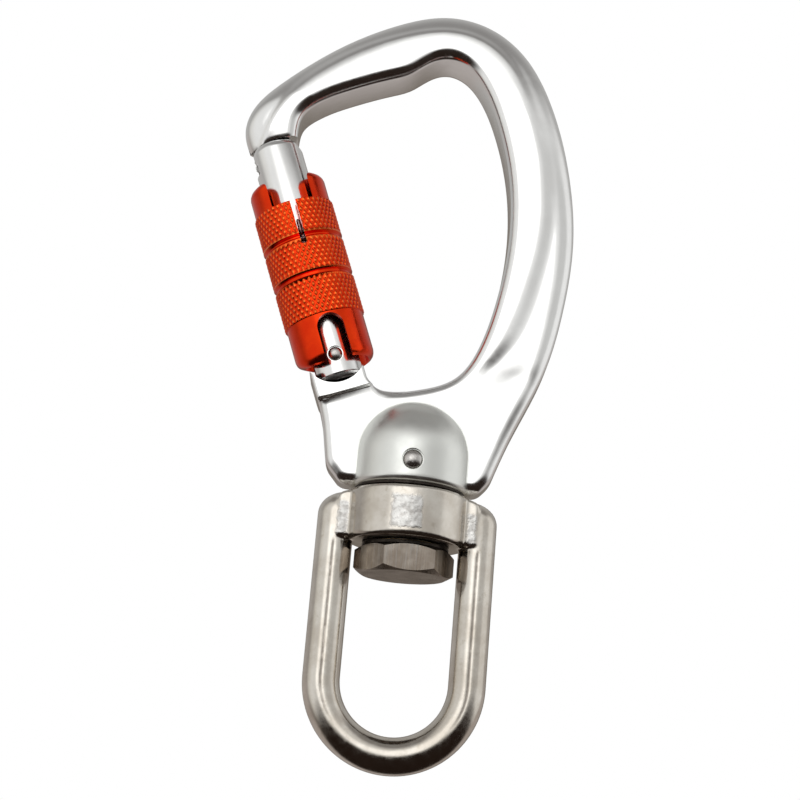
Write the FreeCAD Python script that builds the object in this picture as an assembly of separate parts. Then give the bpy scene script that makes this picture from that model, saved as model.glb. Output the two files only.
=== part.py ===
"""Swivel snap shackle: forged aluminium hook with a sprung, sleeve-locked gate, and a
stainless stirrup that swivels below it on a hexagon bolt.

Millimetres. The origin is the inner apex of the bow, where the load hangs, on the swivel
axis. +Z points up along that axis, +X from the gate towards the spine, Y through the hook.
Gate parts are drawn about the hinge with +Z towards the nose, then set into place.
"""
import FreeCAD, Part
import math
import os

V = FreeCAD.Vector
X_AXIS, Y_AXIS, Z_AXIS = V(1, 0, 0), V(0, 1, 0), V(0, 0, 1)
ORIGIN = V(0, 0, 0)

# --- driving dimensions: forged hook ---
SPINE_HALF = 6.2          # half thickness of bow and spine
HUB_HALF = 4.7            # half thickness of the hub plate
NECK_HALF = 5.7           # half thickness of the neck below the gate
OUTER_ROUND = 4.0         # forged rounding along the outside of bow, spine and hub
INNER_ROUND = 2.2         # and along the inside, where the rope bears
HUB_BOTTOM = -97.1
CUTTER_REACH = 60.0       # half length of the cutters that relieve the hub
BOSS_RADIUS = 12.3
BOSS_CENTRE_Z = -90.3
BOSS_CHAMFER = 0.5
CHANNEL_RADIUS = 2.9      # cutter that rolls the shallow channel into both faces
CHANNEL_DEPTH = 0.7
STEP_ROUND = 1.0          # round in the foot of the step from neck to hub
RUN_OUT_RADIUS = 60.0     # the hub plate thickens to the spine along this radius
RUN_OUT_START = V(14.0, 0, -84.5)
RUN_OUT_TURN = 22.0
BOLT_HOLE_RADIUS = 6.0
BOLT_HOLE_DEPTH = 13.6

# --- driving dimensions: gate, measured from the hinge ---
HINGE = V(-18.0, 0, -70.0)
GATE_TILT = 20.574        # degrees from +Z, top leaning away from the spine
GATE_RADIUS = 5.5
GATE_TOP = 50.2
GATE_BOTTOM = -4.3
GATE_HEEL_RADIUS = 6.0
SHOULDER_TURN = 52.0      # slope of the cut across the gate's top, towards the spine
SHOULDER_START = 3.4
SEAT_RADIUS = 6.3         # concave seat in the neck, about the hinge
NECK_INNER = 5.0
NECK_OUTER = 6.2
NECK_STEP = -8.2
NECK_FOOT = -6.9          # where the neck's inner side begins to round into the hub
NECK_SHOULDER = -6.0      # where its outer side meets the hub
NECK_ROUND = 0.8
OUTER_HORN_TOP = -2.3
FORK_HALF = 2.6
FORK_TOP = 7.2
BORE_RADIUS = 2.6
BORE_BOTTOM = 5.0
BORE_TOP = 40.0
TANG_HALF = 2.3
CAM_RADIUS = 4.2          # tang radius under the plunger when the gate is shut
CAM_RISE = 2.9            # millimetres of plunger travel per radian of swing
TANG_LEFT = -3.2
TANG_RIGHT = 4.2
TANG_BOTTOM = -7.5
TANG_LEFT_TOP = -0.8
TANG_RIGHT_TOP = 2.4
CAM_START = -0.7          # radians of swing where the cam begins
CAM_STEP = 0.24
CAM_POINTS = 7
RIVET_RADIUS = 1.5
RIVET_DOME = 0.5
RIVET_CLEARANCE = 0.06    # between rivet and tang
PLUNGER_PROFILE = [(0, 4.65), (0.45, 4.79), (0.8, 5.45), (2.3, 8.2), (2.3, 13.0), (1.2, 13.3),
                   (1.2, 16.0), (0, 16.0)]
GATE_SPRING_RADIUS = 1.9
GATE_SPRING_WIRE = 0.6
GATE_SPRING_FOOT = 13.7
GATE_SPRING_TURNS = 12
GUIDE_PIN_T = 15.0
GUIDE_PIN_RADIUS = 0.8
GUIDE_PIN_ROOT = 3.4      # distance of its inner end from the gate's axis
GUIDE_PIN_LENGTH = 3.2
CLIP_T = 27.6
CLIP_THICKNESS = 1.0
CLIP_RADIUS = 6.55
CLIP_MOUTH_HALF = 2.0
CLIP_GROOVE = 5.0         # radius of the gate at the foot of the clip's groove
KEYWAY_HALF = 1.1         # slot in the gate that keys the spring seat
KEYWAY_FLOOR = 4.9
KEYWAY_TOP = 23.6
KEY_STEM_HALF = 1.5       # the nose key is a stem with a thicker head under it
KEY_HEAD_HALF = 2.3
KEY_HEAD_FROM = 44.9      # distances of head and stem from the hinge
KEY_HEAD_TO = 46.9
KEY_STEM_TO = 52.0
KEY_LEFT = -4.6
KEY_RIGHT = 2.6
KEY_CLEARANCE = 0.3

# --- driving dimensions: locking sleeve ---
SLEEVE_RADIUS = 8.75      # over the knurled bands
EAR_RADIUS = 8.3
SKIRT_RADIUS = 8.35
SLEEVE_BORE = 6.9
SLEEVE_TOP_BORE = 6.0
SLEEVE_BOTTOM = -1.5
SLEEVE_TOP = 41.0
NOTCH_FLOOR = 34.5        # the bands end and the two ears begin here
NOTCH_HALF = 4.5
CHAMBER_TOP = 29.5
SKIRT_TOP = 8.5
GROOVES = (17.5, 26.1)
GROOVE_HALF = 0.6
GROOVE_DEPTH = 0.55
ARCH_HALF = 2.9
ARCH_TOP = 8.2
ARCH_TURN = 4.0           # degrees the arched slot sits round from the slit
SLIT_HALF = 0.6
SLIT_BOTTOM = 24.6
LEG_TOP = 30.3            # upper end of the spring's leg in the slit
LEG_PLACE = 7.3           # its distance from the gate's axis
SPRING_RADIUS = 6.2
SPRING_WIRE = 0.8
SPRING_TURNS = 4.75
SPRING_SEATING = 0.45     # from a spring's end face to the middle of its wire
SLEEVE_TRAVEL = 4.0
BUSHING_BOTTOM = 8.9
BUSHING_TOP = 16.7
RING_CLEAR = 5.8          # inner radius of everything that slides round the gate
SEAT_BOTTOM = BUSHING_TOP + 0.3
SEAT_TOP = BUSHING_TOP + 1.3
SEAT_RING_RADIUS = 6.6
SEAT_TAB_HALF = 0.8
WINDOW_MARGIN = 1.1       # of the bushing's window above and below the guide pin's middle
WINDOW_START = -12.0      # degrees
WINDOW_SPAN = 114.0

# --- driving dimensions: swivel ---
RING_RADIUS = 12.65
RING_TOP = -97.8
RING_BOTTOM = -108.45
RING_ROUND = 0.6
BUSH_RADIUS = 7.5
BUSH_BORE = 6.05
BOLT_RADIUS = 5.98
HEAD_TOP = -109.3
HEAD_BOTTOM = -114.95
HEAD_FLATS = 18.0
HEAD_TURN = 6.0           # degrees
HEAD_CONE_SMALL = 8.7     # radii of the cone that turns off the head's corners
HEAD_CONE_LARGE = 10.4
HEAD_CONE_HEIGHT = 1.0
SHANK_LENGTH = 25.3
SHANK_CHAMFER = 0.8
CROSS_PIN_Z = -92.7
CROSS_PIN_RADIUS = 2.0
LEG_OUTER = 18.63
LEG_INNER = 10.95
LEG_HALF_DEPTH = 4.3
LEG_ROUND = 3.2
BOW_CENTRE_Z = -136.43
BLOCK_HALF_DEPTH = 5.1
BLOCK_INNER = 9.5
BLOCK_ROUND = 2.4
UPPER_WASHER_RADIUS = 11.4
UPPER_WASHER_HEIGHT = 0.4
LOWER_WASHER_RADIUS = 9.0
LOWER_WASHER_HEIGHT = 0.55


def gate_placement():
    return FreeCAD.Placement(HINGE, FreeCAD.Rotation(Y_AXIS, -GATE_TILT))


def placed(shape):
    """Move a shape drawn about the hinge into the row frame."""
    moved = shape.copy()
    moved.Placement = gate_placement().multiply(moved.Placement)
    return moved


def at_gate(lateral, t):
    """A point of the mid plane, from its place across and along the gate."""
    return gate_placement().multVec(V(lateral, 0, t))


def spline(points):
    curve = Part.BSplineCurve()
    curve.interpolate([V(x, 0, z) for x, z in points])
    return curve.toShape()


def line(start, end):
    return Part.makeLine(start, end)


def slab(face, half):
    """Extrude a face of the mid plane to both sides."""
    face.translate(V(0, -half, 0))
    return face.extrude(V(0, 2 * half, 0))


def ring(outer, inner, bottom, top):
    height = top - bottom
    outside = Part.makeCylinder(outer, height, V(0, 0, bottom))
    return outside.cut(Part.makeCylinder(inner, height, V(0, 0, bottom)))


def cross_cylinder(radius, half, centre=ORIGIN):
    """A cylinder along Y."""
    return Part.makeCylinder(radius, 2 * half, centre + V(0, -half, 0), Y_AXIS)


def box(x0, x1, y0, y1, z0, z1):
    return Part.makeBox(x1 - x0, y1 - y0, z1 - z0, V(x0, y0, z0))


def revolved(profile, angle=360.0):
    """Revolve a closed outline of (radius, z) points about Z."""
    points = [V(r, 0, z) for r, z in profile]
    face = Part.Face(Part.makePolygon(points + points[:1]))
    return face.revolve(ORIGIN, Z_AXIS, angle)


def round_pin(radius, half, dome):
    """A pin along Y with a low dome on each end."""
    cap_radius = (radius ** 2 + dome ** 2) / (2 * dome)
    rise = cap_radius - math.sqrt(cap_radius ** 2 - (radius / 2) ** 2)
    end, shoulder = half + dome, (radius / 2, half + dome - rise)
    edges = [
        Part.Arc(V(0, -end, 0), V(shoulder[0], -shoulder[1], 0), V(radius, -half, 0)).toShape(),
        line(V(radius, -half, 0), V(radius, half, 0)),
        Part.Arc(V(radius, half, 0), V(shoulder[0], shoulder[1], 0), V(0, end, 0)).toShape(),
        line(V(0, end, 0), V(0, -end, 0)),
    ]
    return Part.Face(Part.Wire(edges)).revolve(ORIGIN, Y_AXIS, 360.0)


def coil(radius, wire, bottom, top, turns):
    """A compression spring about Z, its wire centre running from bottom to top."""
    helix = Part.makeHelix((top - bottom) / turns, top - bottom, radius)
    helix.translate(V(0, 0, bottom))
    section = Part.Wire(Part.makeCircle(wire / 2, V(radius, 0, bottom), Y_AXIS))
    return Part.Wire(helix).makePipeShell([section], True, True)


# --- forged hook ---
OUTER_EDGE = [(-41.1, -24.5), (-42.5, -20.6), (-41.2, -14.6), (-35.5, -7.8), (-22.8, 2.3),
              (-10.9, 8.6), (0.1, 11.4), (10.6, 9.0), (18.8, 2.0), (24.1, -7.7), (28.8, -23.6),
              (30.7, -40.0), (29.3, -56.1), (26.1, -70.0), (20.0, -84.5), (16.4, -94.4)]
INNER_EDGE = [(-30.95, -20.66), (-30.2, -16.6), (-26.9, -13.1), (-19.7, -9.3), (-11.3, -6.0),
              (-7.1, -4.3), (-3.3, -1.5), (0.7, 0.0), (4.8, -1.4), (8.1, -4.9), (12.3, -13.5),
              (15.9, -27.2), (16.7, -41.3), (14.8, -55.9), (12.2, -65.2), (7.6, -72.5),
              (-0.1, -75.7), (-6.4, -76.7), (-8.6, -76.9)]
HUB_LEFT = [(-20.3, -81.2), (-19.5, -84.0), (-18.7, -88.3), (-17.9, -93.3)]
UNDER_NECK = (-10.5, -80.6)
NECK_ROUND_MIDDLE = (-9.45, -75.85)
NECK_ROOT = (-7.0, -82.0)
HUB_CORNER_LEFT = (-14.6, -97.1)
HUB_CORNER_RIGHT = (13.9, -97.1)
CHANNEL_PATH = [(-26.0, -7.0, 1.6), (-20.0, -1.4, 0.2), (-9.0, 4.6, 0.0), (1.0, 6.6, 0.0),
                (10.0, 3.6, 0.0), (16.4, -4.4, 0.0), (21.6, -19.0, 0.0), (24.0, -38.0, 0.0),
                (22.4, -55.5, 0.0), (18.4, -68.5, 0.3), (15.0, -76.5, 2.0)]


def point(pair):
    return V(pair[0], 0, pair[1])


def hook_outline():
    """Bow, spine and hub in the mid plane, open where the gate sits and cut off under the neck."""
    outer, inner, left = spline(OUTER_EDGE), spline(INNER_EDGE), spline(HUB_LEFT)
    edges = [
        outer,
        line(point(OUTER_EDGE[-1]), point(HUB_CORNER_RIGHT)),
        line(point(HUB_CORNER_RIGHT), point(HUB_CORNER_LEFT)),
        line(point(HUB_CORNER_LEFT), point(HUB_LEFT[-1])),
        left,
        line(point(HUB_LEFT[0]), point(UNDER_NECK)),
        line(point(UNDER_NECK), point(INNER_EDGE[-1])),
        inner,
        line(point(INNER_EDGE[0]), point(OUTER_EDGE[0])),
    ]
    return Part.Face(Part.Wire(Part.__sortEdges__(edges)))


def neck():
    """The block that carries the gate, with its concave seat and the round into the hub."""
    inner_horn = -math.sqrt(SEAT_RADIUS ** 2 - NECK_INNER ** 2)
    horn_inset = -math.sqrt(SEAT_RADIUS ** 2 - OUTER_HORN_TOP ** 2)
    foot, hub_edge, root = at_gate(NECK_INNER, NECK_FOOT), point(INNER_EDGE[-2]), point(NECK_ROOT)
    seat = Part.Arc(at_gate(horn_inset, OUTER_HORN_TOP), at_gate(0, -SEAT_RADIUS),
                    at_gate(NECK_INNER, inner_horn)).toShape()
    edges = [
        seat,
        line(at_gate(NECK_INNER, inner_horn), foot),
        Part.Arc(foot, point(NECK_ROUND_MIDDLE), hub_edge).toShape(),
        line(hub_edge, root),
        line(root, point(HUB_LEFT[1])),
        line(point(HUB_LEFT[1]), at_gate(-NECK_OUTER, NECK_SHOULDER)),
        line(at_gate(-NECK_OUTER, NECK_SHOULDER), at_gate(-NECK_OUTER, OUTER_HORN_TOP)),
        line(at_gate(-NECK_OUTER, OUTER_HORN_TOP), at_gate(horn_inset, OUTER_HORN_TOP)),
    ]
    block = slab(Part.Face(Part.Wire(edges)), NECK_HALF)
    sides = [e for e in block.Edges if abs(abs(e.CenterOfMass.y) - NECK_HALF) < 1e-6
             and e.CenterOfMass.x < -21.0 and e.Length > 3]
    return block.makeFillet(NECK_ROUND, sides)


def face_edges(solid, shortest, longest):
    """Edges of the two flat faces whose length is in this range."""
    found = []
    for edge in solid.Edges:
        flat = abs(abs(edge.CenterOfMass.y) - SPINE_HALF) < 1e-6
        if flat and shortest < edge.Length < longest:
            found.append(edge)
    return found


def rounded_blank():
    """The hook's outline, thick all over, with its long edges rounded."""
    blank = slab(hook_outline(), SPINE_HALF)
    outer_length, inner_length = spline(OUTER_EDGE).Length, spline(INNER_EDGE).Length
    blank = blank.makeFillet(OUTER_ROUND, face_edges(blank, outer_length - 1, outer_length + 1))
    return blank.makeFillet(INNER_ROUND, face_edges(blank, inner_length - 1, inner_length + 1))


def hub_relief(side):
    """The cutter that thins the hub plate: a crisp step at the neck, a long run-out at the spine."""
    reach, depth = CUTTER_REACH, 20.0
    below_neck = box(-reach, reach, HUB_HALF, depth, -80, NECK_STEP)
    step_edge = [e for e in below_neck.Edges
                 if abs(e.CenterOfMass.z - NECK_STEP) < 1e-6 and abs(e.CenterOfMass.y - HUB_HALF) < 1e-6]
    below_neck = placed(below_neck.makeFillet(STEP_ROUND, step_edge))
    run_out = box(-reach, reach, HUB_HALF, depth, -reach, 0).fuse(
        Part.makeCylinder(RUN_OUT_RADIUS, 2 * reach, V(-reach, HUB_HALF + RUN_OUT_RADIUS, 0), X_AXIS))
    run_out.Placement = FreeCAD.Placement(RUN_OUT_START, FreeCAD.Rotation(Y_AXIS, RUN_OUT_TURN))
    cutter = below_neck.common(run_out)
    if side < 0:
        cutter = cutter.mirror(ORIGIN, Y_AXIS)
    return cutter


def channel(side):
    """A round cutter rolled along the middle of bow and spine, lifting out at both ends."""
    height = SPINE_HALF + CHANNEL_RADIUS - CHANNEL_DEPTH
    path = Part.BSplineCurve()
    path.interpolate([V(x, side * (height + lift), z) for x, z, lift in CHANNEL_PATH])
    edge = path.toShape()
    start, direction = path.value(path.FirstParameter), path.tangent(path.FirstParameter)[0]
    section = Part.Wire(Part.makeCircle(CHANNEL_RADIUS, start, direction))
    return Part.Wire(edge).makePipeShell([section], True, True)


def boss():
    """The domed boss that holds the swivel bolt."""
    height = BOSS_CENTRE_Z - HUB_BOTTOM
    barrel = Part.makeCylinder(BOSS_RADIUS, height, V(0, 0, HUB_BOTTOM))
    foot = [e for e in barrel.Edges if abs(e.CenterOfMass.z - HUB_BOTTOM) < 1e-6 and e.Closed]
    barrel = barrel.makeChamfer(BOSS_CHAMFER, foot)
    return barrel.fuse(Part.makeSphere(BOSS_RADIUS, V(0, 0, BOSS_CENTRE_Z), Z_AXIS, 0, 90, 360))


def tang():
    """The hinge tang inside the gate's fork; its top is a spiral that lifts the plunger."""
    cam = []
    for step in range(CAM_POINTS):
        angle = CAM_START + step * CAM_STEP
        radius = CAM_RADIUS + CAM_RISE * angle
        cam.append(V(radius * math.sin(angle), 0, radius * math.cos(angle)))
    curve = Part.BSplineCurve()
    curve.interpolate(cam)
    corners = [cam[-1], V(TANG_RIGHT, 0, TANG_RIGHT_TOP), V(TANG_RIGHT, 0, TANG_BOTTOM),
               V(TANG_LEFT, 0, TANG_BOTTOM), V(TANG_LEFT, 0, TANG_LEFT_TOP), cam[0]]
    edges = [curve.toShape()] + [line(a, b) for a, b in zip(corners, corners[1:])]
    return placed(slab(Part.Face(Part.Wire(edges)), TANG_HALF))


def hinge_band(low, high, half):
    """A band round the hinge pin, between two radii."""
    return cross_cylinder(high, half).cut(cross_cylinder(low, half))


def key_section(stem_top, clearance):
    """The keyhole shape of the nose key, curved about the hinge so that the gate swings clear."""
    stem = hinge_band(KEY_HEAD_TO - clearance, stem_top, KEY_STEM_HALF + clearance)
    head = hinge_band(KEY_HEAD_FROM - clearance, KEY_HEAD_TO + clearance, KEY_HEAD_HALF + clearance)
    return stem.fuse(head)


def nose_key():
    """The hook under the nose that locks into the gate."""
    room = box(KEY_LEFT, KEY_RIGHT, -SPINE_HALF, SPINE_HALF, BORE_TOP, KEY_STEM_TO)
    return placed(key_section(KEY_STEM_TO, 0.0).common(room))


def body_frame():
    solid = rounded_blank().fuse(neck())
    for side in (-1, 1):
        solid = solid.cut(hub_relief(side))
        solid = solid.cut(channel(side))
    solid = solid.fuse([boss(), tang(), nose_key()])
    solid = solid.cut(placed(cross_cylinder(RIVET_RADIUS + RIVET_CLEARANCE, 8)))
    solid = solid.cut(Part.makeCylinder(BOLT_HOLE_RADIUS, BOLT_HOLE_DEPTH, V(0, 0, HUB_BOTTOM)))
    return solid.cut(cross_cylinder(CROSS_PIN_RADIUS, 14, V(0, 0, CROSS_PIN_Z)))


# --- gate ---
def key_pocket():
    """Room in the gate for the nose key, open to the outside so that the gate leaves it."""
    above = GATE_TOP + GATE_RADIUS
    room = box(-above, KEY_RIGHT + KEY_CLEARANCE, -SPINE_HALF, SPINE_HALF, BORE_TOP, above)
    return key_section(above, KEY_CLEARANCE).common(room)


def gate_barrel():
    profile = [(0, GATE_BOTTOM), (GATE_RADIUS, GATE_BOTTOM), (GATE_RADIUS, GATE_TOP - 0.9),
               (GATE_RADIUS - 0.3, GATE_TOP - 0.3), (GATE_RADIUS - 0.9, GATE_TOP), (0, GATE_TOP)]
    solid = revolved(profile)
    heel = cross_cylinder(GATE_HEEL_RADIUS, 8).fuse(box(-9, 9, -8, 8, 0, 60))
    solid = solid.common(heel)
    shoulder = box(0, 6, -8, 8, 0, 6)
    shoulder.Placement = FreeCAD.Placement(V(SHOULDER_START, 0, GATE_TOP),
                                           FreeCAD.Rotation(Y_AXIS, SHOULDER_TURN))
    solid = solid.cut(shoulder)
    cuts = [
        box(-9, 9, -FORK_HALF, FORK_HALF, -9, FORK_TOP),
        Part.makeCylinder(BORE_RADIUS, BORE_TOP - BORE_BOTTOM, V(0, 0, BORE_BOTTOM)),
        key_pocket(),
        cross_cylinder(RIVET_RADIUS, 8),
        ring(7.0, CLIP_GROOVE, CLIP_T, CLIP_T + CLIP_THICKNESS),
        box(-KEYWAY_HALF, KEYWAY_HALF, KEYWAY_FLOOR, 7.0, BUSHING_TOP, KEYWAY_TOP),
        Part.makeCylinder(GUIDE_PIN_RADIUS, 4, V(0, GUIDE_PIN_ROOT - 0.1, GUIDE_PIN_T), Y_AXIS),
    ]
    for cutter in cuts:
        solid = solid.cut(cutter)
    return placed(solid)


def gate_rivet():
    return placed(round_pin(RIVET_RADIUS, GATE_RADIUS - 0.05, RIVET_DOME))


def gate_plunger():
    """The plunger: rounded tip on the tang's cam, spigot inside its spring."""
    return placed(revolved(PLUNGER_PROFILE))


def gate_spring():
    top = BORE_TOP - GATE_SPRING_WIRE / 2 - 0.05
    return placed(coil(GATE_SPRING_RADIUS, GATE_SPRING_WIRE, GATE_SPRING_FOOT, top, GATE_SPRING_TURNS))


def guide_pin():
    root = V(0, GUIDE_PIN_ROOT, GUIDE_PIN_T)
    return placed(Part.makeCylinder(GUIDE_PIN_RADIUS, GUIDE_PIN_LENGTH, root, Y_AXIS))


def spring_clip():
    """A snap ring in the gate's groove, open at the back."""
    clip = ring(CLIP_RADIUS, CLIP_GROOVE + 0.02, CLIP_T + 0.05, CLIP_T + CLIP_THICKNESS - 0.05)
    return placed(clip.cut(box(-CLIP_MOUTH_HALF, CLIP_MOUTH_HALF, 0, 8, CLIP_T - 1, CLIP_T + 2)))


# --- locking sleeve ---
def spring_seat():
    """A ring that slides with the sleeve, keyed to the gate by an inner tab."""
    seat = ring(SEAT_RING_RADIUS, RING_CLEAR, SEAT_BOTTOM, SEAT_TOP)
    tab = box(-SEAT_TAB_HALF, SEAT_TAB_HALF, KEYWAY_FLOOR + 0.3, RING_CLEAR + 0.4, SEAT_BOTTOM, SEAT_TOP)
    return placed(seat.fuse(tab))


def sleeve_spring():
    """The coil round the gate, with the straight leg that lies in the sleeve's slit."""
    end_z, half_wire = CLIP_T - SPRING_SEATING, SPRING_WIRE / 2
    coils = coil(SPRING_RADIUS, SPRING_WIRE, SEAT_TOP + SPRING_SEATING, end_z, SPRING_TURNS)
    leg = Part.makeCylinder(half_wire, LEG_TOP - end_z, V(0, -LEG_PLACE, end_z))
    link = Part.makeCylinder(half_wire, LEG_PLACE - SPRING_RADIUS + 0.3, V(0, -LEG_PLACE, end_z), Y_AXIS)
    return placed(coils.fuse([leg, link]))


def sleeve_profile():
    """Outline of the sleeve wall as (radius, z), from the skirt up to the ears."""
    outside = [(SLEEVE_BORE, SLEEVE_BOTTOM), (7.3, SLEEVE_BOTTOM), (7.85, -1.25),
               (SKIRT_RADIUS - 0.15, -0.7), (SKIRT_RADIUS, 0.0), (SKIRT_RADIUS, SKIRT_TOP),
               (SLEEVE_RADIUS, SKIRT_TOP + 0.25)]
    for z in GROOVES:
        floor = SLEEVE_RADIUS - GROOVE_DEPTH
        outside += [(SLEEVE_RADIUS, z - GROOVE_HALF), (floor, z - 0.15), (floor, z + 0.15),
                    (SLEEVE_RADIUS, z + GROOVE_HALF)]
    outside += [(SLEEVE_RADIUS, NOTCH_FLOOR - 0.25), (EAR_RADIUS, NOTCH_FLOOR), (EAR_RADIUS, 39.4),
                (EAR_RADIUS - 0.3, 40.5), (7.4, SLEEVE_TOP)]
    inside = [(SLEEVE_TOP_BORE, SLEEVE_TOP), (SLEEVE_TOP_BORE, CHAMBER_TOP), (SLEEVE_BORE, CHAMBER_TOP)]
    return outside + inside


def arch_slot():
    """The round-topped slot over the rivet, front and back."""
    centre = ARCH_TOP - ARCH_HALF
    slot = box(-ARCH_HALF, ARCH_HALF, -10, 10, -5, centre).fuse(
        cross_cylinder(ARCH_HALF, 10, V(0, 0, centre)))
    slot.rotate(ORIGIN, Z_AXIS, ARCH_TURN)
    return slot


def locking_sleeve():
    solid = revolved(sleeve_profile())
    notch = box(-NOTCH_HALF, NOTCH_HALF, -10, 10, NOTCH_FLOOR, SLEEVE_TOP + 1)
    slit = box(-SLIT_HALF, SLIT_HALF, -10, -5, SLIT_BOTTOM, NOTCH_FLOOR + 1)
    return placed(solid.cut(notch).cut(slit).cut(arch_slot()))


def sleeve_bushing():
    """The guide bushing pressed into the sleeve; the guide pin travels in its window."""
    bushing = ring(SLEEVE_BORE, RING_CLEAR, BUSHING_BOTTOM, BUSHING_TOP)
    low = GUIDE_PIN_T - SLEEVE_TRAVEL - WINDOW_MARGIN
    high = GUIDE_PIN_T + WINDOW_MARGIN
    window = revolved([(5, low), (8, low), (8, high), (5, high)], WINDOW_SPAN)
    window.rotate(ORIGIN, Z_AXIS, WINDOW_START)
    return placed(bushing.cut(window))


# --- swivel ---
def hex_head():
    """The hexagon head, its corners turned off by a cone."""
    corner = HEAD_FLATS / math.sqrt(3)
    height = HEAD_TOP - HEAD_BOTTOM
    outline = []
    for index in range(7):
        angle = math.radians(index * 60 + HEAD_TURN)
        outline.append(V(corner * math.cos(angle), corner * math.sin(angle), HEAD_BOTTOM))
    prism = Part.Face(Part.makePolygon(outline)).extrude(V(0, 0, height))
    cone = revolved([(0, HEAD_BOTTOM), (HEAD_CONE_SMALL, HEAD_BOTTOM),
                     (HEAD_CONE_LARGE, HEAD_BOTTOM + HEAD_CONE_HEIGHT),
                     (HEAD_CONE_LARGE, HEAD_TOP - HEAD_CONE_HEIGHT),
                     (HEAD_CONE_SMALL, HEAD_TOP), (0, HEAD_TOP)])
    return prism.common(cone)


def swivel_bolt():
    shank = Part.makeCylinder(BOLT_RADIUS, SHANK_LENGTH, V(0, 0, HEAD_TOP))
    tip = [e for e in shank.Edges if e.Closed and e.CenterOfMass.z > HEAD_TOP + 1]
    shank = shank.makeChamfer(SHANK_CHAMFER, tip)
    solid = hex_head().fuse(shank)
    return solid.cut(cross_cylinder(CROSS_PIN_RADIUS, 14, V(0, 0, CROSS_PIN_Z)))


def swivel_cross_pin():
    pin = round_pin(CROSS_PIN_RADIUS - 0.01, BOSS_RADIUS - 0.1, 0.6)
    pin.translate(V(0, 0, CROSS_PIN_Z))
    return pin


def stirrup_section(centre_x):
    """Rounded rectangle of the stirrup bar, normal to Z at the leg's foot."""
    half_width = (LEG_OUTER - LEG_INNER) / 2
    face = Part.makePlane(2 * half_width, 2 * LEG_HALF_DEPTH,
                          V(centre_x - half_width, -LEG_HALF_DEPTH, BOW_CENTRE_Z))
    return face


def stirrup():
    """The U of the stirrup: two legs and a half-round bow of the same bar."""
    middle = (LEG_OUTER + LEG_INNER) / 2
    leg_length = RING_BOTTOM + 4.0 - BOW_CENTRE_Z
    right = stirrup_section(middle).extrude(V(0, 0, leg_length))
    left = stirrup_section(-middle).extrude(V(0, 0, leg_length))
    bow = stirrup_section(middle).revolve(V(0, 0, BOW_CENTRE_Z), Y_AXIS, 180.0)
    bar = bow.fuse([right, left]).removeSplitter()
    long_edges = [e for e in bar.Edges if abs(abs(e.CenterOfMass.y) - LEG_HALF_DEPTH) < 1e-6
                  and e.Length > 12.0]
    return bar.makeFillet(LEG_ROUND, long_edges)


def shoulder_block(side):
    """The leg's shoulder, where it runs into the ring."""
    x0, x1 = sorted((side * BLOCK_INNER, side * LEG_OUTER))
    block = box(x0, x1, -BLOCK_HALF_DEPTH, BLOCK_HALF_DEPTH, RING_BOTTOM + 0.4, RING_TOP - 0.1)
    upright = [e for e in block.Edges if abs(e.CenterOfMass.x - side * LEG_OUTER) < 1e-6
               and abs(abs(e.CenterOfMass.y) - BLOCK_HALF_DEPTH) < 1e-6]
    top = [e for e in block.Edges if abs(e.CenterOfMass.x - side * LEG_OUTER) < 1e-6
           and abs(e.CenterOfMass.z - RING_TOP + 0.1) < 1e-6]
    return block.makeFillet(BLOCK_ROUND, upright + top)


def swivel_bail():
    """Ring, shoulders and stirrup: one casting."""
    solid = Part.makeCylinder(RING_RADIUS, RING_TOP - RING_BOTTOM, V(0, 0, RING_BOTTOM))
    rims = [e for e in solid.Edges if e.Closed and e.Length > 70]
    solid = solid.makeFillet(RING_ROUND, rims)
    solid = solid.fuse([shoulder_block(-1), shoulder_block(1), stirrup()])
    return solid.cut(Part.makeCylinder(BUSH_RADIUS, 20, V(0, 0, RING_BOTTOM - 4)))


def swivel_bush():
    return ring(BUSH_RADIUS, BUSH_BORE, RING_BOTTOM, RING_TOP)


def upper_thrust_washer():
    return ring(UPPER_WASHER_RADIUS, BOLT_RADIUS, HUB_BOTTOM - UPPER_WASHER_HEIGHT, HUB_BOTTOM)


def lower_thrust_washer():
    return ring(LOWER_WASHER_RADIUS, BOLT_RADIUS, HEAD_TOP, HEAD_TOP + LOWER_WASHER_HEIGHT)


SUB_PARTS = [body_frame, gate_barrel, gate_rivet, gate_plunger, gate_spring, guide_pin, spring_clip,
             spring_seat, sleeve_spring, locking_sleeve, sleeve_bushing, swivel_bolt,
             swivel_cross_pin, swivel_bail, swivel_bush, upper_thrust_washer, lower_thrust_washer]

os.makedirs("parts", exist_ok=True)
for sub_part in SUB_PARTS:
    shape = sub_part()
    shape.exportStep("parts/" + sub_part.__name__ + ".step")
    size = shape.BoundBox
    print(sub_part.__name__, shape.ShapeType, len(shape.Solids), shape.isValid(), round(shape.Volume, 1),
          [round(v, 2) for v in (size.XMin, size.XMax, size.YMin, size.YMax, size.ZMin, size.ZMax)])
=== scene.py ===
import math

import bmesh
import bpy
import numpy as np
from mathutils import Matrix, Vector, noise


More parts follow.
